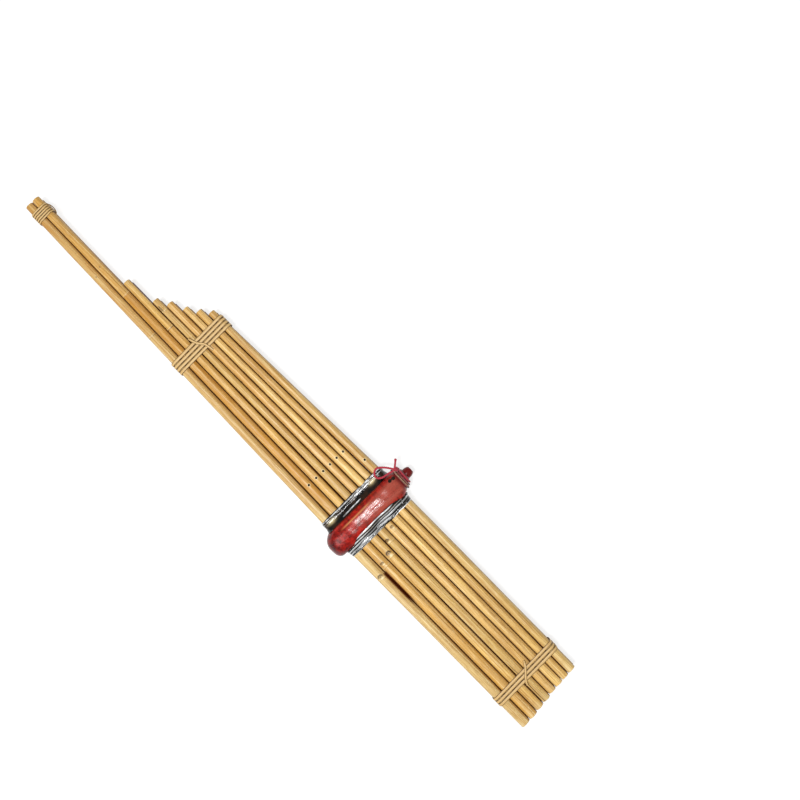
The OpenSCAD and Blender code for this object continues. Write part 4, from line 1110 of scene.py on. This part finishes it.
# A tan band, laid only on the front of one turn of the neck cord
tan_front_band = add(tree, "ShaderNodeAttribute", attribute_name="tan_front_band")
tone = add(tree, "ShaderNodeMix", {0: tan_front_band.outputs["Fac"], 6: tone.outputs[2], 7: linear("#C8A37C")}, data_type="RGBA")
relief = add(tree, "ShaderNodeBump", {"Height": fuzz.outputs[0], "Strength": 0.6, "Distance": 0.0001})
shell = add(
    tree,
    "ShaderNodeBsdfPrincipled",
    {"Base Color": tone.outputs[2], "Roughness": 0.62, "Sheen Weight": 0.25, "Normal": relief.outputs[0]},
)
add(tree, "ShaderNodeOutputMaterial", {0: shell.outputs[0]})

# The cord's tree lays three strands round the line
cord_tree = bpy.data.node_groups.new("laid_cord", "GeometryNodeTree")
cord_tree.interface.new_socket("Line", in_out="INPUT", socket_type="NodeSocketGeometry")
cord_tree.interface.new_socket("Strands", in_out="INPUT", socket_type="NodeSocketInt")
cord_tree.interface.new_socket("Strand radius", in_out="INPUT", socket_type="NodeSocketFloat")
cord_tree.interface.new_socket("Strand offset", in_out="INPUT", socket_type="NodeSocketFloat")
cord_tree.interface.new_socket("Lay length", in_out="INPUT", socket_type="NodeSocketFloat")
cord_tree.interface.new_socket("Finish", in_out="INPUT", socket_type="NodeSocketMaterial")
cord_tree.interface.new_socket("Cord", in_out="OUTPUT", socket_type="NodeSocketGeometry")
given = add(cord_tree, "NodeGroupInput").outputs
line = add(cord_tree, "GeometryNodeMeshToCurve", {0: given["Line"]})
line = add(cord_tree, "GeometryNodeResampleCurve", {"Curve": line.outputs[0], "Length": 0.00025}, mode="LENGTH")
back = add(cord_tree, "GeometryNodeInputNamedAttribute", {"Name": "back"}, data_type="FLOAT_VECTOR")
line = add(
    cord_tree,
    "GeometryNodeSetCurveNormal",
    {"Curve": line.outputs[0], "Normal": back.outputs[0]},
    mode="FREE",
)
far = add(cord_tree, "GeometryNodeSplineParameter")
line = add(
    cord_tree,
    "GeometryNodeStoreNamedAttribute",
    {"Geometry": line.outputs[0], "Name": "along", "Value": far.outputs["Length"]},
)
copies = add(
    cord_tree,
    "GeometryNodeDuplicateElements",
    {"Geometry": line.outputs[0], "Amount": given["Strands"]},
    domain="SPLINE",
)
turn_share = add(cord_tree, "ShaderNodeMath", {0: far.outputs["Length"], 1: given["Lay length"]}, operation="DIVIDE")
part_share = add(cord_tree, "ShaderNodeMath", {0: copies.outputs[1], 1: given["Strands"]}, operation="DIVIDE")
share = add(cord_tree, "ShaderNodeMath", {0: turn_share.outputs[0], 1: part_share.outputs[0]}, operation="ADD")
angle = add(cord_tree, "ShaderNodeMath", {0: share.outputs[0], 1: 2 * math.pi}, operation="MULTIPLY")
normal = add(cord_tree, "GeometryNodeInputNormal")
tangent = add(cord_tree, "GeometryNodeInputTangent")
swing = add(
    cord_tree,
    "ShaderNodeVectorRotate",
    {"Vector": normal.outputs[0], "Axis": tangent.outputs[0], "Angle": angle.outputs[0]},
    rotation_type="AXIS_ANGLE",
)
fray = add(cord_tree, "GeometryNodeInputNamedAttribute", {"Name": "fray"})
spread = add(cord_tree, "ShaderNodeMath", {0: given["Strand offset"], 1: fray.outputs[0]}, operation="MULTIPLY")
shift = add(
    cord_tree,
    "ShaderNodeVectorMath",
    {0: swing.outputs[0], "Scale": spread.outputs[0]},
    operation="SCALE",
)
moved = add(cord_tree, "GeometryNodeSetPosition", {"Geometry": copies.outputs[0], "Offset": shift.outputs[0]})
ring = add(cord_tree, "GeometryNodeCurvePrimitiveCircle", {"Resolution": 10, "Radius": given["Strand radius"]})
tube = add(
    cord_tree,
    "GeometryNodeCurveToMesh",
    {"Curve": moved.outputs[0], "Profile Curve": ring.outputs[0], "Fill Caps": True},
)
real = add(cord_tree, "GeometryNodeRealizeInstances", {0: tube.outputs[0]})
done = add(cord_tree, "GeometryNodeSetMaterial", {"Geometry": real.outputs[0], "Material": given["Finish"]})
add(cord_tree, "NodeGroupOutput", {0: done.outputs[0]})

strand_r = 0.31 * cord_d
laid = {
    "Strands": 3,
    "Strand radius": strand_r * MM,
    "Strand offset": (cord_d / 2 - strand_r) * MM,
    "Lay length": 3.2 * cord_d * MM,
    "Finish": red_cord,
}
# Where nothing draws it tight, in the bow and its knot, the same cord is fuller
loose = dict(laid)
loose["Strand radius"] = 0.36 * cord_d * MM
loose["Strand offset"] = 0.22 * cord_d * MM


def form_at(x, a):
    """A point of the carved form at x, and the angle a in degrees from the front over the crown."""
    s, c = math.sin(math.radians(a)), math.cos(math.radians(a))
    e = 2 / square(x)
    crown = crown_above(x) if s > 0 else crown_below(x)
    y = crown * math.copysign(abs(s) ** e, s)
    return np.array([x, y, chest_z + half_deep(x) * math.copysign(abs(c) ** e, c)])


def off_form(x, a, away):
    """The point that far off the form, and the way out there."""
    s, c = math.sin(math.radians(a)), math.cos(math.radians(a))
    p, q = form_at(x, a), form_at(x + 0.5, a)
    e = 2 - 2 / square(x)
    crown = crown_above(x) if s > 0 else crown_below(x)
    n = np.array([0, math.copysign(abs(s) ** e, s) / crown, math.copysign(abs(c) ** e, c) / half_deep(x)])
    n = n / np.linalg.norm(n)
    slope = float((q - p) @ n) / 0.5
    return p + n * away * math.sqrt(1 + slope * slope), n


neck = []
for k in range(cord_turns * 72 + 1):
    x = cord_x + cord_pitch * k / 72
    neck.append(off_form(x, cord_start + 360 * k / 72, cord_d / 2 - 0.05))
neck_cord = carry("neck_cord_laid", cord_tree, [p for p, _ in neck], [n for _, n in neck], laid)
co = points_of(neck_cord)
store(neck_cord, "dirt", 0.95 * smooth_step(-co[:, 0], -54.2, -51.5))
# A tan band on the front of the turn at x 50.7
tan_turn = np.exp(-(((co[:, 0] - 50.7) / 0.9) ** 2)) * smooth_step(co[:, 2], chest_z + 2, chest_z + 9)
store(neck_cord, "tan_front_band", 0.8 * tan_turn)
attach(neck_cord, "khene")
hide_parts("neck_cord")

# The knot: two turns of the same cord drawn tight round the bow's root
knot_at, knot_r, knot_turns = np.array([53.6, 12.4, 37.4]), 1.55, 2
knot = []
for k in range(knot_turns * 40 + 1):
    a = 2 * math.pi * k / 40
    away = np.array([0.55 * math.cos(a), 0.75 * math.cos(a), math.sin(a)]) * knot_r
    step = np.array([-0.8, 0.6, 0.0]) * (k / 40 - knot_turns / 2) * 1.3
    knot.append((knot_at + away + step, away / np.linalg.norm(away)))
cord_knot = carry("cord_knot_laid", cord_tree, [p for p, _ in knot], [n for _, n in knot], loose)
store(cord_knot, "dirt", np.full(len(cord_knot.data.vertices), 0.3))
store(cord_knot, "tan_front_band", np.zeros(len(cord_knot.data.vertices)))
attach(cord_knot, "khene")

# The bow's route, from the knot on the neck round the loop, back over itself and out along the tail
bow_route = [
    (54.6, 10.6, 35.8), (52.5, 13, 36.6), (50, 17, 36.8), (47, 21, 36.5),
    (43, 25, 36), (39, 27, 35.6), (35, 25.5, 35.8), (33, 22, 36.4),
    (34, 18.5, 37.8), (38, 16, 38.9), (42, 15.2, 38.9), (46, 14.4, 38.6),
    (50, 13.4, 38.9), (53, 14, 39.2), (57, 17, 38), (61, 20.5, 36.5),
]


bow_path = smooth(bow_route, 8)
cord_bow = carry("cord_bow_laid", cord_tree, bow_path, [(0, 0, 1)] * len(bow_path), loose, 0.9)
store(cord_bow, "dirt", np.zeros(len(cord_bow.data.vertices)))
store(cord_bow, "tan_front_band", np.zeros(len(cord_bow.data.vertices)))
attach(cord_bow, "khene")
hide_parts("cord_bow")

bpy.context.view_layer.update()
